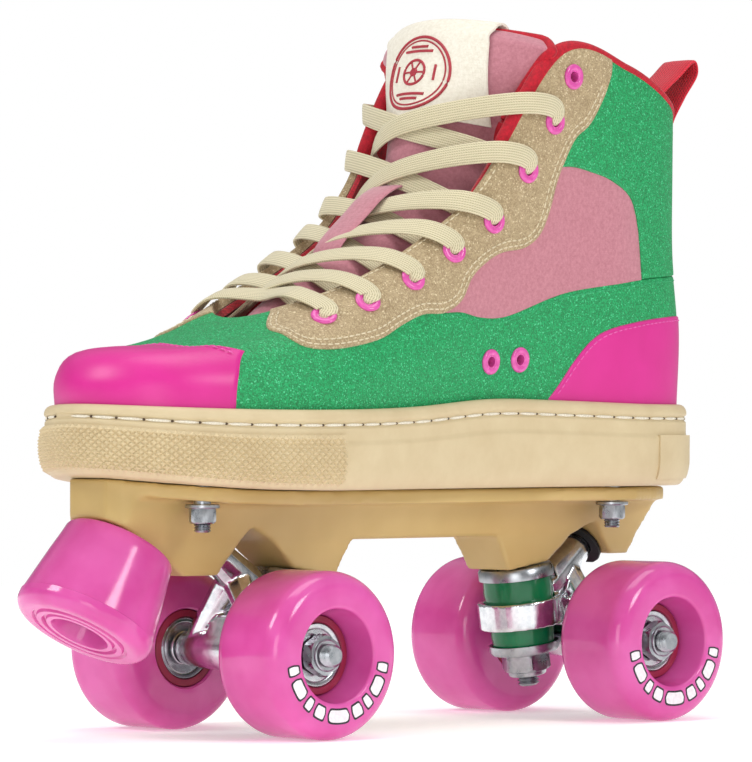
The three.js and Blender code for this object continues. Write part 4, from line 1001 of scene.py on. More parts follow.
def sew_upper():
    """Stitches beside the seams: green on the quarters, tan on the eyestays, pink on cap and counter."""
    arc_line = np.arange(5.0, 6.04, 0.04)
    sewing("thread_quarters", [
        along_seam(np.arange(3.35, 12.65, 0.05), quarter_top, 0.05, -1.7),
        along_seam(arc_line, side_arc, 0.3, 1.8),
        along_seam(other_side(arc_line), side_arc, 0.3, 1.8)], GREEN_THREAD)

    on_stay = EYESTAY_OUT + THREAD_OUT
    low_line = np.arange(0.9, 5.66, 0.03)
    edge_line = np.arange(1.0, 4.2, 0.05)
    rows = [
        along_seam(turn(line), level, on_stay, inset)
        for line, level, inset in (
            (low_line, eyestay_low, 1.6), (low_line, eyestay_low, 3.6), (edge_line, level_at(TOP_EDGE), -1.5))
        for turn in (np.asarray, other_side)]
    level = np.linspace(0.48, 0.94, 40)
    for side in (-1, 1):
        station = np.full(40, HEEL + side * (STRIP_HALF - 0.08))
        rows.append((off_boot(station, level, STRIP_OUT + 0.02), boot_out(station, level)))
    sewing("thread_eyestays", rows, TAN_THREAD)

    cap_line = np.arange(-1.38, 1.39, 0.04)
    counter_line = np.arange(4.85, 11.16, 0.05)
    sewing("thread_cap_and_counter", [
        along_seam(line, level, OVERLAY_OUT + THREAD_OUT, inset) for line, level, inset in (
            (cap_line, cap_edge, -1.7), (cap_line, cap_edge, -3.9), (counter_line, counter_top, -1.7))],
        PINK_THREAD)


def build_eyelets():
    """Rolled rings with their sleeves, in the eyestays and in the two vents."""
    rings = []
    section = [[RING_RADIUS + RING_WIDE * c, RING_TALL * s] for c, s in arc((0, 0), 1, 0, 330, 12)]
    rolled = ring_of(section, 28)
    sleeve = ring_of([[1.95, -5.4], [2.25, -5.4], [2.4, 0.3], [1.95, 0.3]], 28)
    for places, lift in ((EYELETS + OUTER_EYELETS, EYESTAY_OUT), (VENTS, 0.0)):
        for station, level in places:
            at = off_boot(station, level, lift + 0.25)
            out = boot_out(np.array(station, float), np.array(level, float))
            rings += [moved(rolled, at, out), moved(sleeve, at, out)]
    piece("eyelets", gathered(rings), EYELET_ENAMEL, weld=0)


def build_binding():
    """The padded red edge round the collar and down both eyestays.

    Its section is an ellipse that straddles the wall's edge, taller down the eyestays and rounded
    over at both ends.
    """
    s = stations_between(BINDING_END, ROUND - BINDING_END, 0.04)
    edge = np.full_like(s, TOP_EDGE)
    front = 1 - smoothstep(folded(s), 4.9, 5.4)
    centre = off_boot(s, edge, -BINDING_IN)
    out = boot_out(s, edge)
    up = unit(np.cross(out, unit(np.gradient(centre, axis=0))))
    fade = np.clip(np.minimum(s - s[0], s[-1] - s) / 0.06, 0, 1)
    fade = np.sqrt(np.maximum(1 - (1 - fade) ** 2, 0.3))[:, None]
    a = round_angles(20)
    wide = BINDING_WIDE * fade * np.cos(a)
    tall = (BINDING_TALL + BINDING_TALLER * front)[:, None] * fade * np.sin(a) + 0.2
    grid = centre[:, None] + out[:, None] * wide[..., None] + up[:, None] * tall[..., None]
    piece("collar_binding", tube(grid), PIPING, weld=0)


# ---------------------------------------------------------------- cupsole and insole
def dish(rings, stations):
    """A dish round the boot's foot: rings of (offset, height function), each end closed on a middle line.

    The middle line's points are halfway between mirrored stations, and welding makes them one.
    """
    zero = np.zeros_like(stations)
    grid = []
    for offset, height in rings:
        ring = off_boot(stations, zero, offset)
        ring[:, 2] = height(stations, ring)
        grid.append(ring)
    turn = (-np.arange(len(stations))) % len(stations)
    first = (grid[0] + grid[0][turn]) / 2
    final = (grid[-1] + grid[-1][turn]) / 2
    grid = np.stack([first, *grid, final])
    return grid.reshape(-1, 3), grid_faces(len(grid), len(stations), False, True)


SOLE_LIP = 1.4
SOLE_FLOOR = 14
SOLE_SIDE = 5.0
TOE_SPRING = 5.5
BALL_Y = 70
SPRING_LENGTH = 82.04
STITCH_PITCH = 9.6
STITCH_LOW = 5.3


def spring(y):
    """Height of the sole's underside: it rises as a square ahead of the ball."""
    ahead = np.maximum(0, BOOT_Y - y - BALL_Y) / SPRING_LENGTH
    return SOLE_Z + TOE_SPRING * ahead ** 2


def near_toe(stations):
    """1 at the toe's tip, falling to 0 at the ball."""
    return 1 - smoothstep(folded(stations), 0, 1.7)


def lip(stations):
    """Height of the sole's top edge."""
    return boot(stations, 0.0 * stations)[:, 2] + SOLE_LIP + 1.0 * near_toe(stations)


def below_lip(drop):
    """A height below the sole's top edge, a little less of it at the toe."""
    return lambda s, ring: lip(s) - drop * (1 - 0.22 * near_toe(s))


def above_base(rise):
    """A height above the sole's underside."""
    return lambda s, ring: spring(ring[:, 1]) + rise


def wall_out(rise):
    """Offset of the sole's lower wall at a height above its underside."""
    return np.interp(rise, [0, 0.6, 1.8, 4.2, 8, 40], [1.0, 2.0, 3.0, 4.1, 4.8, SOLE_SIDE])


def build_sole():
    """The cupsole with its stitched groove and painted shade in its needle holes, the toe's diamond bumper
    and the heel's pad.
    """
    stations = np.arange(0, ROUND, 0.05)
    rings = [(0.2, above_base(0))]
    rings += [(float(wall_out(rise)), above_base(rise)) for rise in (0.15, 0.6, 1.8, 4.2, 8)]
    wall = [
        (5.0, 13.4), (5.0, 12.6), (4.8, 12.1), (4.2, 11.4), (4.05, 10.5), (4.1, 7.4), (4.1, 6.8),
        (4.0, 6.5), (3.5, 6.1), (3.3, 5.3), (3.5, 4.5), (4.0, 4.1), (4.3, 3.8), (4.3, 2.8),
        (3.95, 1.6), (3.3, 0.7), (2.4, 0.15), (1.6, 0.0), (1.2, 0.2), (1.1, 1.0)]
    rings += [(offset, below_lip(drop)) for offset, drop in wall]
    rings.append((1.1, lambda s, ring: np.full_like(s, SOLE_Z + SOLE_FLOOR)))
    piece("sole", dish(rings, stations), GUM_RUBBER, stands_for=("cupsole",), weld=0.02)

    groove = off_boot(stations, 0 * stations, 3.55)
    groove[:, 2] = below_lip(STITCH_LOW)(stations, groove)
    out = boot_out(stations, 0 * stations)
    sewing("thread_sole", [(groove, out)], WHITE_THREAD, STITCH_PITCH, 8.6, 1.1, 0.9)
    # Dark pads sunk between the stitches: painted shade in the needle holes.
    holes = groove + unit(np.gradient(groove, axis=0)) * STITCH_PITCH / 2 - out * 0.15
    sewing("painted_shade_sole_holes", [(holes, out)], HOLE_SHADE, STITCH_PITCH, 1.1, 0.9, 0.7)

    # The real diamonds are about 2.4 mm wide; they are drawn a little coarser so that they show.
    build_bumper("toe_bumper", middle_station=0, reach=2.2, pitch=2.9, tall=2.2, proud=0.6, relief=1.15,
                 low_rise=0.9, drop=lambda s: 8.6 - 1.8 * near_toe(s))
    build_bumper("heel_bumper", middle_station=HEEL, reach=1.75, pitch=3.8, tall=2.4, proud=0.7, relief=0,
                 low_rise=2.5, drop=lambda s: 11.4 + 0 * s)


def build_bumper(name, middle_station, reach, pitch, tall, proud, relief, low_rise, drop):
    """A moulded pad on the sole's lower wall, with diamonds as pyramids on a half-step grid.

    Every other grid corner is a pyramid's tip and the rest are valleys; each quad is split along
    its valley corners. The rim is a plain line of valley corners. reach is in stations either side
    of the middle one; the pad runs from low_rise above the sole's underside to drop below its lip.
    """
    fine = np.linspace(middle_station - reach, middle_station + reach, 1500)
    length = passed(off_boot(fine, 0 * fine, SOLE_SIDE))
    columns = int(length[-1] / (pitch / 2)) | 1
    run = np.linspace(0, length[-1], columns)
    s = np.interp(run, length, fine)
    underside = spring(off_boot(s, 0 * s, SOLE_SIDE)[:, 1])
    bottom = underside + low_rise
    top = lip(s) - drop(s)
    rows = int(np.mean(top - bottom) / (tall / 2)) | 1
    z = bottom[:, None] + (top - bottom)[:, None] * np.linspace(0, 1, rows)
    tip = np.add.outer(np.arange(columns), np.arange(rows)) % 2
    tip[[0, -1]] = 0
    tip[:, [0, -1]] = 0
    rise = z - underside[:, None]
    wall = wall_out(rise) - 0.6 * smoothstep(rise, 12, 15) * (middle_station == 0)
    wide = np.broadcast_to(s[:, None], z.shape)
    outer = off_boot(wide, 0 * wide, wall + proud + relief * tip)
    inner = off_boot(wide, 0 * wide, wall - 1.5)
    outer[..., 2] = z
    inner[..., 2] = z
    points, faces = tube(np.concatenate([outer, inner[:, ::-1]], axis=1))
    raised = np.concatenate([tip, 0 * tip], axis=1).ravel()[faces]
    cross = (raised[:, 0] + raised[:, 2] > raised[:, 1] + raised[:, 3])[:, None]
    first = np.where(cross, faces[:, [0, 1, 3]], faces[:, [0, 1, 2]])
    second = np.where(cross, faces[:, [1, 2, 3]], faces[:, [0, 2, 3]])
    shape = (points, np.concatenate([first, second]))
    piece(name, shape, GUM_RUBBER, weld=0, smooth=25)


def build_insole():
    """The cushioned footbed: a slab with rounded edges, slightly dished."""
    base = low("insole")[2]
    stations = np.arange(0, ROUND, 0.1)
    edge = -5.8
    profile = [
        (edge - 1, 0), (edge, 0.6), (edge, 3.0), (edge - 0.5, 4.0), (edge - 1.5, 4.5), (edge - 4, 4.3)]
    rings = [(off, lambda s, ring, rise=rise: np.full_like(s, base + rise)) for off, rise in profile]
    made = piece("footbed", dish(rings, stations), LINING, stands_for=("insole",), weld=0.02)


# ---------------------------------------------------------------- tongue, label and lace
# The tongue's middle line from toe to top: along the boot, and height above the sole's base.
TONGUE_LINE = [
    [-94, 47], [-80, 52.5], [-66, 63.5], [-45, 77.5], [-15, 95], [-3, 111], [3, 136], [13, 162],
    [16.5, 167.5]]
TONGUE_THICK = 5
TONGUE_LOW_HALF = 20
TONGUE_SHIN_MORE = 7
TONGUE_FLARE_MORE = 18
KEEPER_WIDE = 14
KEEPER_HIGH = 6.2
LOOP_WIDE = 16


def tongue_middle(share):
    """The tongue's middle line and its forward direction at shares of its length by spans."""
    points = [[0, y + BOOT_Y, h + SOLE_Z] for y, h in TONGUE_LINE]
    path, at = smooth_path(points, 900)
    run = unit(np.gradient(path, axis=0))
    place = between(share, at, path)
    ahead = unit(between(share, at, run))
    face = np.stack([0 * ahead[..., 0], -ahead[..., 2], ahead[..., 1]], axis=-1)
    return place, ahead, face


def tongue_half(share):
    """Half the tongue's width: wider up the shin, flared at the top, with rounded corners."""
    wide = TONGUE_LOW_HALF + TONGUE_SHIN_MORE * np.minimum(1, 2 * share)
    wide = wide + TONGUE_FLARE_MORE * smoothstep(share, 0.72, 0.93)
    corner = np.clip((share - 0.9) / 0.1, 0, 1)
    return wide * np.sqrt(1 - 0.32 * corner ** 2)


def on_tongue(u, share, out, beyond=0.0):
    """A place over the tongue: u from -1 to 1 across it, sagging back as u squared."""
    u, share = np.broadcast_arrays(np.asarray(u, float), np.asarray(share, float))
    place, ahead, face = tongue_middle(share)
    sag = 6 + 12 * np.minimum(1, 4 * share)
    lean = -3 * smoothstep(share, 0.7, 1)
    lift = np.asarray(out, float) - sag * u ** 2
    past = np.asarray(beyond, float) + 6 * u ** 2 * smoothstep(share, 0.8, 1)
    moved_place = place + face * lift[..., None] + ahead * past[..., None]
    moved_place[..., 0] += u * tongue_half(share) + lean
    return moved_place


def build_tongue():
    """A quilted tongue: rounded edges, a shallow channel each side, and red piping."""
    share = np.linspace(0, 1, 120)
    a = round_angles(72)
    u = np.sign(np.cos(a)) * np.abs(np.cos(a)) ** 0.75
    rise = np.sign(np.sin(a)) * np.abs(np.sin(a)) ** 0.55
    end = np.sqrt(np.clip(1 - np.clip((share - 0.985) / 0.015, 0, 0.98) ** 2, 0.04, 1))
    thick = TONGUE_THICK * end[:, None] / 2
    channel = 0.7 * np.exp(-((np.abs(u) - 0.62) / 0.05) ** 2) * smoothstep(share[:, None], 0.3, 0.4)
    crown = 0.6 * (1 - u ** 2)
    out = -TONGUE_THICK / 2 + rise * thick + np.maximum(rise, 0) * (crown - channel)
    grid = on_tongue(np.broadcast_to(u, out.shape), np.broadcast_to(share[:, None], out.shape), out)
    made = piece("padded_tongue", tube(grid), TEXTILE, stands_for=("tongue",), weld=0)

    up = np.linspace(0.3, 0.985, 90)
    over = np.linspace(0.97, -0.97, 50)
    level = np.concatenate([up, np.full(50, 0.992), up[::-1]])
    side = np.concatenate([np.ones(90), over, -np.ones(90)])
    edge = on_tongue(side, level, -TONGUE_THICK / 2 - 0.2)
    piece("tongue_piping", cord_along(edge, 2.0), PIPING, weld=0)


LABEL_LOW = 0.735
LABEL_FOLD = 0.975
LABEL_HALF = 27
LABEL_THICK = 0.9
LABEL_LIFT = 0.9
LABEL_BEND = 3.2  # how far the fold's inside stands past the tongue's top
EMBLEM_AT = 0.47  # its middle, as a share of the way up the label
EMBLEM_SQUAT = 0.92


def on_label(x, share, out):
    """A place on the label's front, x in millimetres from its middle."""
    return on_tongue(np.asarray(x) / tongue_half(np.asarray(share)), share, out)


def build_label():
    """A canvas label folded over the tongue's top, with a plain wheel emblem in raised print."""
    front = np.linspace(LABEL_LOW, LABEL_FOLD, 30)
    turn = np.linspace(0, np.pi, 14)[1:-1]
    back = np.linspace(LABEL_FOLD, 0.93, 10)
    level = np.concatenate([front, np.full(12, LABEL_FOLD), back])[:, None]
    half = TONGUE_THICK / 2
    u = np.linspace(-LABEL_HALF, LABEL_HALF, 33) / tongue_half(level)
    layers = []
    for gap in (LABEL_LIFT, LABEL_LIFT + LABEL_THICK):
        out = np.concatenate([
            np.full(30, gap), -half + (half + gap) * np.cos(turn), np.full(10, -2 * half - gap)])
        beyond = np.concatenate([np.zeros(30), (LABEL_BEND + gap) * np.sin(turn), np.zeros(10)])
        layers.append(on_tongue(u, level, out[:, None] + 0 * u, beyond[:, None] + 0 * u))
    grid = np.concatenate([layers[1], layers[0][:, ::-1]], axis=1)
    made = piece("tongue_label_folded", tube(grid), LABEL, stands_for=("tongue_label",), weld=0)

    top = LABEL_LIFT + LABEL_THICK
    share = np.linspace(LABEL_LOW, LABEL_FOLD, 200)
    climb = passed(on_label(0 * share, share, top))
    centre = EMBLEM_AT * climb[-1]

    def marked(x, y):
        x, y = np.broadcast_arrays(np.asarray(x, float), np.asarray(y, float))
        return on_label(x, np.interp(centre + y, climb, share), top)

    a = round_angles(64)
    marks = [
        cord_along(marked(r * np.cos(a), EMBLEM_SQUAT * r * np.sin(a)), thick, True)
        for r, thick in ((15.5, 0.6), (13.8, 0.35), (5.2, 0.55), (1.3, 0.5))]
    for angle in np.arange(0, np.pi, np.pi / 3):
        reach = np.linspace(-4.8, 4.8, 12)
        marks.append(cord_along(marked(reach * np.cos(angle), reach * np.sin(angle)), 0.4))
    for y, half_bar in ((8.4, 7.0), (10.2, 4.2), (-8.4, 7.0), (-10.2, 4.2)):
        marks.append(cord_along(marked(np.linspace(-half_bar, half_bar, 12), y), 0.55))
    for x in (-9.6, 9.6):
        marks.append(cord_along(marked(x, np.linspace(-3, 3, 8)), 0.55))
    piece("label_emblem", gathered(marks), RED_INK, weld=0)


LACE_WIDTH = 7.8
LACE_THICK = 1.4
LACE_OVER = 1.6
LACE_UNDER = -6.6
LEAVE_RISE = 8
ARRIVE_RISE = 6


def edge_station(station, level, rise):
    """The station at which a lace crosses the eyestay's edge, a little above its eyelet."""
    height = boot(station, level)[2] + rise
    tried = np.linspace(station - 1, station, 200)
    return tried[np.argmin(np.abs(boot(tried, 1.0 + 0 * tried)[:, 2] - height))]


def over_tongue(height, lift):
    """A spot over the tongue's middle at a height, with the tongue's forward direction."""
    share = np.linspace(0, 1, 400)
    place, _, face = tongue_middle(share)
    best = np.argmin(np.abs(place[:, 2] - height))
    return place[best] + face[best] * lift, face[best]


def lace_run(knots):
    """A length of lace through (place, outward) knots, pinched where it enters an eyelet."""
    path, at = smooth_path([place for place, _ in knots], 72)
    faces = np.array([face for _, face in knots])
    keys = np.linspace(0, 1, len(knots))
    return path, unit(between(at, keys, faces)), at * (len(knots) - 1)


def knot(station, level, out):
    """A lace's place off the boot's surface, with the surface's outward direction."""
    s = np.array(float(station))
    v = np.array(float(level))
    return off_boot(s, v, out), boot_out(s, v)


def mirrored(places):
    """[station, level, out] places on the other side of the boot."""
    return [(ROUND - station, level, out) for station, level, out in places]


def into_eyelet(eyelet):
    """A lace's places from the eyestay's edge, over the eyestay and down into an eyelet."""
    station, level = eyelet
    return [
        (edge_station(station, level, ARRIVE_RISE), 1, LACE_OVER + 1.6),
        (station, level + 0.035, LACE_OVER + 0.3),
        (station, level, LACE_OVER - 1.2),
        (station, level - 0.004, LACE_UNDER),
    ]


def crossing(low_eyelet, high_eyelet, side, lift):
    """From inside the lower eyelet, under the eyestay's edge, over the tongue and into the next eyelet up."""
    leave = edge_station(*low_eyelet, LEAVE_RISE)
    inside = [(low_eyelet[0], low_eyelet[1], LACE_UNDER), (leave, 0.97, LACE_UNDER - 0.4)]
    outside = into_eyelet(high_eyelet)
    if side > 0:
        outside = mirrored(outside)
    else:
        inside = mirrored(inside)
    height = (boot(leave, 1.0)[2] + boot(into_eyelet(high_eyelet)[0][0], 1.0)[2]) / 2
    return lace_run([
        *(knot(*place) for place in inside), over_tongue(height, lift), *(knot(*place) for place in outside)])


def pinched(at, first, last):
    """Lace width and thickness along a run: narrow and thick beyond the marked knots."""
    inside = np.maximum(smoothstep(at, last - 0.9, last), 1 - smoothstep(at, first, first + 0.9))
    return LACE_WIDTH - 4.4 * inside, LACE_THICK + 1.3 * inside


def build_lace():
    """Seven rows of flat lace: a straight bar at the toe, then crossings up to the second eyelet."""
    laced = EYELETS[1:]
    parts = []
    for low_eyelet, high_eyelet in zip(laced[1:], laced[:-1]):
        for side, lift in ((1, 2.4), (-1, 4.2)):
            path, up, at = crossing(low_eyelet, high_eyelet, side, lift)
            parts.append(strap(path, up, *pinched(at, -2, 5)))
    bar = into_eyelet(laced[-1])
    edge_height = boot(bar[0][0], 1.0)[2]
    path, up, at = lace_run([
        *(knot(*place) for place in bar[::-1]), over_tongue(edge_height, 3.4),
        *(knot(*place) for place in mirrored(bar))])
    parts.append(strap(path, up, *pinched(at, 1, 7)))
    shape = gathered([part for part, _ in parts])
    marks = np.concatenate([mark for _, mark in parts])
    piece("laces", shape, LACE, stands_for=("lace",), marks=marks, weld=0)


def build_keeper():
    """The sewn strip on the tongue that the lace passes under."""
    share = np.linspace(0.41, 0.6, 40)
    lift = 1.0 + KEEPER_HIGH * np.sin(np.pi * np.linspace(0, 1, 40)) ** 0.6
    path = on_tongue(0 * share, share, lift)
    shape, _ = strap(path, tongue_middle(share)[2], KEEPER_WIDE, 1.4)
    piece("lace_keeper", shape, TEXTILE, weld=0)


def build_pull_loop():
    """Webbing sewn to the heel outside, over the collar and back down inside."""
    _, y, z = boot(float(HEEL), 1.0)
    points = [
        [0, y + 1.8, z - 22], [0, y + 1.7, z - 11], [0, y + 2.6, z - 1], [0, y + 9.4, z + 10],
        [0, y + 16.6, z + 20], [0, y + 15.4, z + 24.2], [0, y + 8, z + 19], [0, y - 6.5, z + 6],
        [0, y - 8.6, z - 10]]
    path, _ = smooth_path(points, 90)
    run = unit(np.gradient(path, axis=0))
    up = np.stack([0 * run[:, 0], run[:, 2], -run[:, 1]], axis=-1)
    shape, marks = strap(path, up, LOOP_WIDE, 1.7)
    piece("heel_pull_loop", shape, WEBBING, stands_for=("pull_loop",), marks=marks, weld=0)


# ---------------------------------------------------------------- wheels
WHEEL_RADIUS = 29
WHEEL_HALF = 16.5
TRACK_HALF = 40.5
EDGE_RADIUS = 6.4
BORE_LIP = 1.3
INNER_BEARING = -12.2
OUTER_BEARING = 1.8
NUT_SEAT = 5.6
FACE_PRINT_RADIUS = 20.5
PRINT_LENGTHS = (2.8, 6.5, 2.8, 4.2, 9, 4.2, 2.8, 6.5, 2.8)
PRINT_GAP = 2.1
PRINT_WIDE = 4.4
PRINT_EDGE = 0.55


def tyre_profile():
    """Half section of a tyre, [radius, along the axle]: bore, inner face, rolling edges, recess."""
    rim = WHEEL_RADIUS - EDGE_RADIUS
    return [
        [13.9, -15.9], [14.5, -WHEEL_HALF], [18, -WHEEL_HALF],
        *arc((rim, -WHEEL_HALF + EDGE_RADIUS), EDGE_RADIUS, -90, 0, 12),
        [WHEEL_RADIUS, -5], [WHEEL_RADIUS, 0], [WHEEL_RADIUS, 5],
        *arc((rim, WHEEL_HALF - EDGE_RADIUS), EDGE_RADIUS, 0, 90, 12),
        [20, WHEEL_HALF], [17.6, WHEEL_HALF],
        *arc((17.4, WHEEL_HALF - BORE_LIP), BORE_LIP, 90, 180, 6),
        [15.4, 12], [14.6, 9], [14.0, 6.6], [13.9, 6.0]]


def hub_profile():
    """Section of the core: a tube with a rib between its two bearing seats."""
    return [
        [11.15, -16], [13.3, -16], [13.6, -15.7], [13.6, 5.3], [13.3, 5.6], [11.5, 5.6], [11.15, 5.3],
        [11.15, -1.8], [9.2, -1.8], [9.2, -8.6], [11.15, -8.6]]


def bearing_profile():
    """Section of a shielded bearing: two ground races with a groove each side of the shield."""
    face = [
        [4, 3.2], [4.3, 3.5], [5.6, 3.5], [5.9, 3.2], [5.9, 2.9], [6.3, 3.0], [7.5, 2.7], [8.8, 3.0],
        [9.2, 2.9], [9.2, 3.3], [9.5, 3.5], [10.7, 3.5], [11, 3.2]]
    return face + [[r, -h] for r, h in face[::-1]]


def axle_nut_profile():
    """Lock nut: washer face, six flats, then the round collar that grips the thread."""
    return [
        [4, 0], [6.9, 0], [7.4, 0.4], [7.6, 3.9], [6.9, 4.4], [5.6, 4.5], [5.5, 5.2], [5.1, 5.5],
        [4, 5.5]]


def face_print():
    """Plain bars round the lower part of a wheel's face, and the dark edges under them."""
    t = np.linspace(-1, 1, 15)
    reach = np.sign(t) * np.abs(t) ** 0.7
    taper = np.sqrt(np.clip(1 - np.abs(t) ** 6, 0.02, 1))
    at = -(sum(PRINT_LENGTHS) + PRINT_GAP * (len(PRINT_LENGTHS) - 1)) / 2
    bars = []
    edges = []
    for length in PRINT_LENGTHS:
        for grow, thick, parts in ((0.0, 0.34, bars), (PRINT_EDGE, 0.2, edges)):
            swing = (at + length / 2 + reach * (length / 2 + grow)) / FACE_PRINT_RADIUS + np.pi
            path = np.stack([np.cos(swing), np.sin(swing), 0 * swing], axis=-1) * FACE_PRINT_RADIUS
            path[:, 2] = WHEEL_HALF
            width = (PRINT_WIDE + 2 * grow) * taper
            parts.append(strap(path, np.array([[0, 0, 1.0]]), width, thick, 12, 5)[0])
        at += length + PRINT_GAP
    return gathered(bars), gathered(edges)


def build_wheel(truck, side, label):
    """One wheel with its bearings, lock nut and printed marks, on its own body."""
    body = f"{truck}_{label}_wheel"
    centre = np.array([side * TRACK_HALF, AXLE_Y[truck], AXLE_Z])

    def on_axle(shape, along=0.0):
        return moved(shape, centre + np.array([side * along, 0, 0]), (side, 0, 0))

    def add(name, shape, material, node=None, slot=None, smooth=40):
        stands_for = (f"{truck}_{label}_{node}",) if node else ()
        piece(f"{truck}_{label}_{name}", shape, material, body, stands_for, smooth=smooth)

    add("tyre_cast", on_axle(ring_of(tyre_profile(), 128)), URETHANE, "tyre", "urethane")
    add("hub", on_axle(ring_of(hub_profile(), 96)), CORE, "core", "core_nylon")
    race = ring_of(bearing_profile(), 72)
    for place, along in (("inner", INNER_BEARING), ("outer", OUTER_BEARING)):
        add(f"{place}_race", on_axle(race, along), RACE, f"{place}_bearing", "steel")
    nut = hexagon(13, axle_nut_profile(), 72, bored=True)
    add("lock_nut", on_axle(nut, NUT_SEAT), ZINC, "axle_nut", "steel", 30)
    bars, edges = face_print()
    spin = np.array([[0, 0, 1.0], [0, 1.0, 0], [1.0, 0, 0]])
    for name, (points, faces), material in (("print", bars, WHITE_INK), ("print_edge", edges, DARK_INK)):
        add(name, (points @ spin * np.array([side, side, 1.0]) + centre, faces), material)


# ---------------------------------------------------------------- trucks
KINGPIN_TILT = math.radians(9)
RING_OUT = -22.95
RING_RISE = 9.8
PIN_RADIUS = 4
PIN_NUT_SEAT = -15.5
AXLE_RADIUS = 3.9
AXLE_HALF = 55.4
CUSHION_BORE = 4.6
CUSHION_EDGE = 1.1
CUSHION_BELLY = 0.35
# Each cushion with its washer: the cushion's radius, start and height along the kingpin, then the
# washer's start, how far its rim reaches over the cushion, and which way along the pin it faces.
STACK = {"upper": (12.5, 1.8, 13.2, 15.3, 2.2, 1), "lower": (11.5, -12.5, 10.7, -12.8, 1.4, -1)}
# From the kingpin ring to the pivot, as shares out and up.
STEER_OUT = 0.7804
STEER_UP = 0.6252


def on_truck(truck, out, rise, x=0.0):
    """A place from the middle of an axle: out along the skate away from its middle, and up."""
    return np.array([x, AXLE_Y[truck] + OUTWARD[truck] * out, AXLE_Z + rise])


def cushion_profile(radius, height):
    """Section of a cushion: a bored barrel with rounded edges and a slight belly."""
    flat = radius - CUSHION_EDGE
    return [
        [CUSHION_BORE, 0], [flat, 0], *arc((flat, CUSHION_EDGE), CUSHION_EDGE, -90, 0, 6)[1:],
        [radius + CUSHION_BELLY, height / 2],
        *arc((flat, height - CUSHION_EDGE), CUSHION_EDGE, 0, 90, 6), [CUSHION_BORE, height]]


def washer_profile(radius, rim, sign):
    """Section of a cupped washer whose rim reaches back over a cushion's edge."""
    inside = radius + 0.4
    profile = [
        [4.3, 0], [inside - 0.5, 0], [inside, -0.4], [inside, -rim], [inside + 0.5, -rim - 0.1],
        [inside + 1, -rim], [inside + 1, 1.0], [inside + 0.3, 2.0], [inside - 1.2, 2.4], [4.8, 2.4],
        [4.3, 2.0]]
    return [[r, h * sign] for r, h in profile]


def build_truck(truck):
    """Kingpin stack, axle and hanger of one truck."""
    body = f"{truck}_truck"
    ring = on_truck(truck, RING_OUT, RING_RISE)
    axis = np.array([0, -OUTWARD[truck] * math.sin(KINGPIN_TILT), math.cos(KINGPIN_TILT)])

    def on_pin(shape, along=0.0):
        return moved(shape, ring + axis * along, axis)

    def add(name, shape, material, node, slot, rides="chassis", smooth=40):
        return piece(f"{truck}_{name}", shape, material, rides, (f"{truck}_{node}",), smooth=smooth)

    shank = turned([
        [0, -27.3], [3.0, -27.3], *threads(PIN_RADIUS, -26.5, -13), [PIN_RADIUS, -12], [PIN_RADIUS, 29.2],
        [0, 29.2]], 48)
    head = hexagon(12, [[0, 29], [6, 29], [7, 29.6], [7, 33.4], [6.2, 34], [0, 34]], 48)
    add("king_bolt", on_pin(gathered([shank, head])), ZINC, "kingpin", "steel")
    nut = hexagon(16, [
        [4.1, -8], [6.4, -8], [6.9, -7.6], [7.1, -6.4], [8.3, -6.0], [9.3, -5.3], [9.3, -0.9], [8.5, 0],
        [4.1, 0]], 96, bored=True)
    add("king_nut", on_pin(nut, PIN_NUT_SEAT), ZINC, "kingpin_nut", "steel", smooth=30)
    for name, (radius, start, height, seat, rim, sign) in STACK.items():
        barrel = on_pin(ring_of(cushion_profile(radius, height), 72), start)
        made = add(f"{name}_bushing", barrel, CUSHION, f"{name}_cushion", "cushion", rides=None)
        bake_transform(made)
        cup = on_pin(ring_of(washer_profile(radius, rim, sign), 96), seat)
        add(f"{name}_cup_washer", cup, ZINC, f"{name}_washer", "steel")

    across = (1, 0, 0)
    hub = on_truck(truck, 0, 0)
    bar = turned([
        [0, -AXLE_HALF], [3.0, -AXLE_HALF], *threads(AXLE_RADIUS, -54.6, -43), [AXLE_RADIUS, -42],
        [AXLE_RADIUS, 42], *threads(AXLE_RADIUS, 43, 54.6), [3.0, AXLE_HALF], [0, AXLE_HALF]], 40)
    add("axle_bar", moved(bar, hub, across), ZINC, "axle", "steel", body)
    steer = np.array([0, OUTWARD[truck] * STEER_OUT, STEER_UP])
    sleeve = turned([[0, -23.4], [6.1, -23.4], [7.1, -8], [7.1, 8], [6.1, 23.4], [0, 23.4]], 64)
    round_parts = gathered([
        on_pin(ring_of([[12.75, -5], [15.5, -5], [15.5, 5], [12.75, 5]], 96)),
        moved(sleeve, hub, across),
        moved(turned([[0, 24], [6.9, 24], [5.7, 37.3], [0, 37.3]], 64), ring, steer)])
    cast_copy(f"{truck}_hanger", f"{truck}_hanger_cast", ALUMINIUM, 0.55, 4, body, round_parts)
    dressed(f"{truck}_pivot_cup", BLACK_RUBBER)


# ---------------------------------------------------------------- plate, toe stop and bolts
STOP_TILT = math.radians(31)
STOP_OUT = 49.25
STOP_RISE = 37.6
STOP_LENGTH = 35
STOP_RADIUS = 24.6
STOP_EDGE = 4.6
BOLT_SHOWING = 9.6  # from a mounting bolt's lower end to the washer under the plate
FLOOR_RADIUS = 1500.0


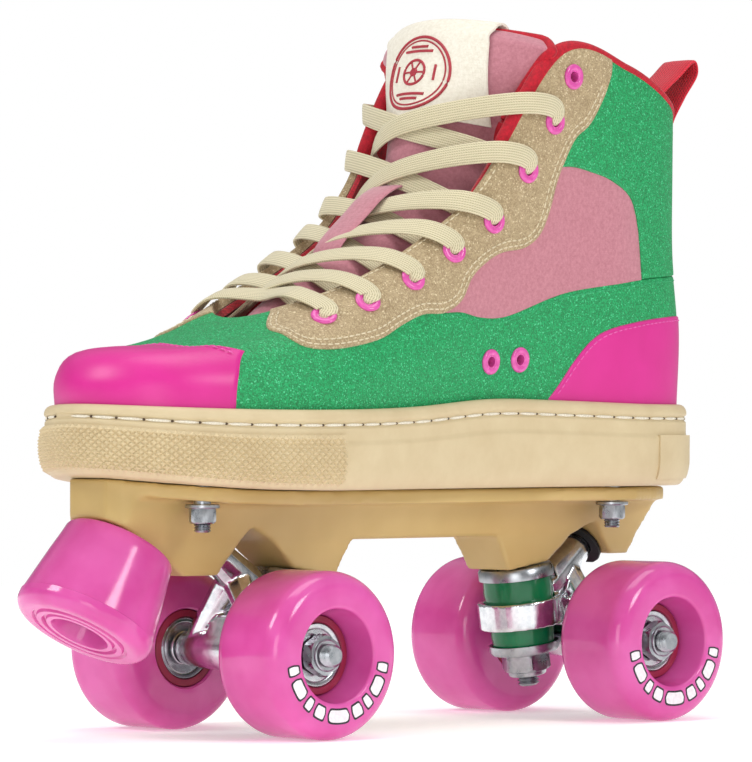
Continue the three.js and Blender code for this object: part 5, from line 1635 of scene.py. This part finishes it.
def stop_profile():
    """Section of the toe stop: domed sole with concentric ridges, a bolt recess, a flared side."""
    base = -STOP_LENGTH
    ridges = [
        [9.8, base + 1.4], [10.6, base], [12.2, base], [12.7, base + 1.0], [13.5, base + 1.0],
        [14.0, base - 0.1], [15.8, base - 0.1], [16.3, base + 0.9], [17.1, base + 0.9],
        [17.7, base + 0.1], [19.6, base + 0.1]]
    return [
        [4.2, base + 14], [8.6, base + 14], [9.2, base + 13.2], *ridges,
        *arc((STOP_RADIUS - STOP_EDGE, base + STOP_EDGE + 0.1), STOP_EDGE, -90, 0, 10),
        [STOP_RADIUS, base + 6.2], [STOP_RADIUS - 0.35, base + 6.4], [STOP_RADIUS - 0.4, base + 6.8],
        [22.9, -20], [21.6, -12], [20.3, -5], [19.8, -1.6], [19.2, -0.5], [18.2, 0], [4.2, 0]]


def bolt_set(x, y, foot, top):
    """A mounting bolt between two heights: threaded shank, disc head above, washer and nut below."""
    seat = foot + BOLT_SHOWING
    points, faces = gathered([
        turned([
            [0, foot], [2.4, foot], *threads(3, foot + 0.6, seat - 1.2, 1.0, 0.5), [3, seat],
            [3, top - 2], [0, top - 2]], 32),
        turned([[0, top - 2], [6.6, top - 2], [7, top - 1.6], [6, top - 0.2], [4, top], [0, top]], 40),
        turned([
            [0, seat - 1.4], [5.7, seat - 1.4], [6, seat - 1.1], [6, seat - 0.3], [5.7, seat],
            [0, seat]], 48),
        hexagon(8.6, [
            [0, seat - 6.6], [4, seat - 6.6], [4.6, seat - 6.2], [5.0, seat - 5.8], [5.0, seat - 2],
            [4.6, seat - 1.4], [0, seat - 1.4]], 48)])
    return points + np.array([x, y, 0]), faces


def build_chassis():
    """The moulded plate, the toe stop with its bolt, and the four mounting bolts."""
    cast_copy("plate", "plate_moulded", PLATE, 1.0, 3, "chassis")
    axis = np.array([0, math.sin(STOP_TILT), math.cos(STOP_TILT)])
    shape = moved(ring_of(stop_profile(), 128), on_truck("front", STOP_OUT, STOP_RISE), axis)
    piece("toe_stop_cast", shape, URETHANE, stands_for=("toe_stop",), smooth=35)
    dressed("toe_stop_bolt", ZINC)
    for truck in ("front", "rear"):
        for label in ("left", "right"):
            node = f"{truck}_{label}_mounting_bolt"
            x, y, _ = middle(node)
            shape = bolt_set(x, y, low(node)[2], high(node)[2])
            piece(f"{node}_set", shape, ZINC, stands_for=(node,), smooth=30)


def build_floor():
    """A wide pale disc to stand on."""
    a = round_angles(96)
    radius = np.array([[FLOOR_RADIUS], [1.0], [0.0]])
    grid = np.stack([radius * np.cos(a), radius * np.sin(a), np.zeros((3, 96))], axis=-1)
    faces = grid_faces(3, 96, False, True)[:, ::-1]
    piece("floor", (grid.reshape(-1, 3), faces), FLOOR_PAINT)


studio()
build_floor()
build_upper()
build_binding()
build_sole()
build_insole()
build_tongue()
build_label()
build_lace()
build_keeper()
build_pull_loop()
for truck in ("front", "rear"):
    build_truck(truck)
    build_wheel(truck, 1, "left")
    build_wheel(truck, -1, "right")
build_chassis()
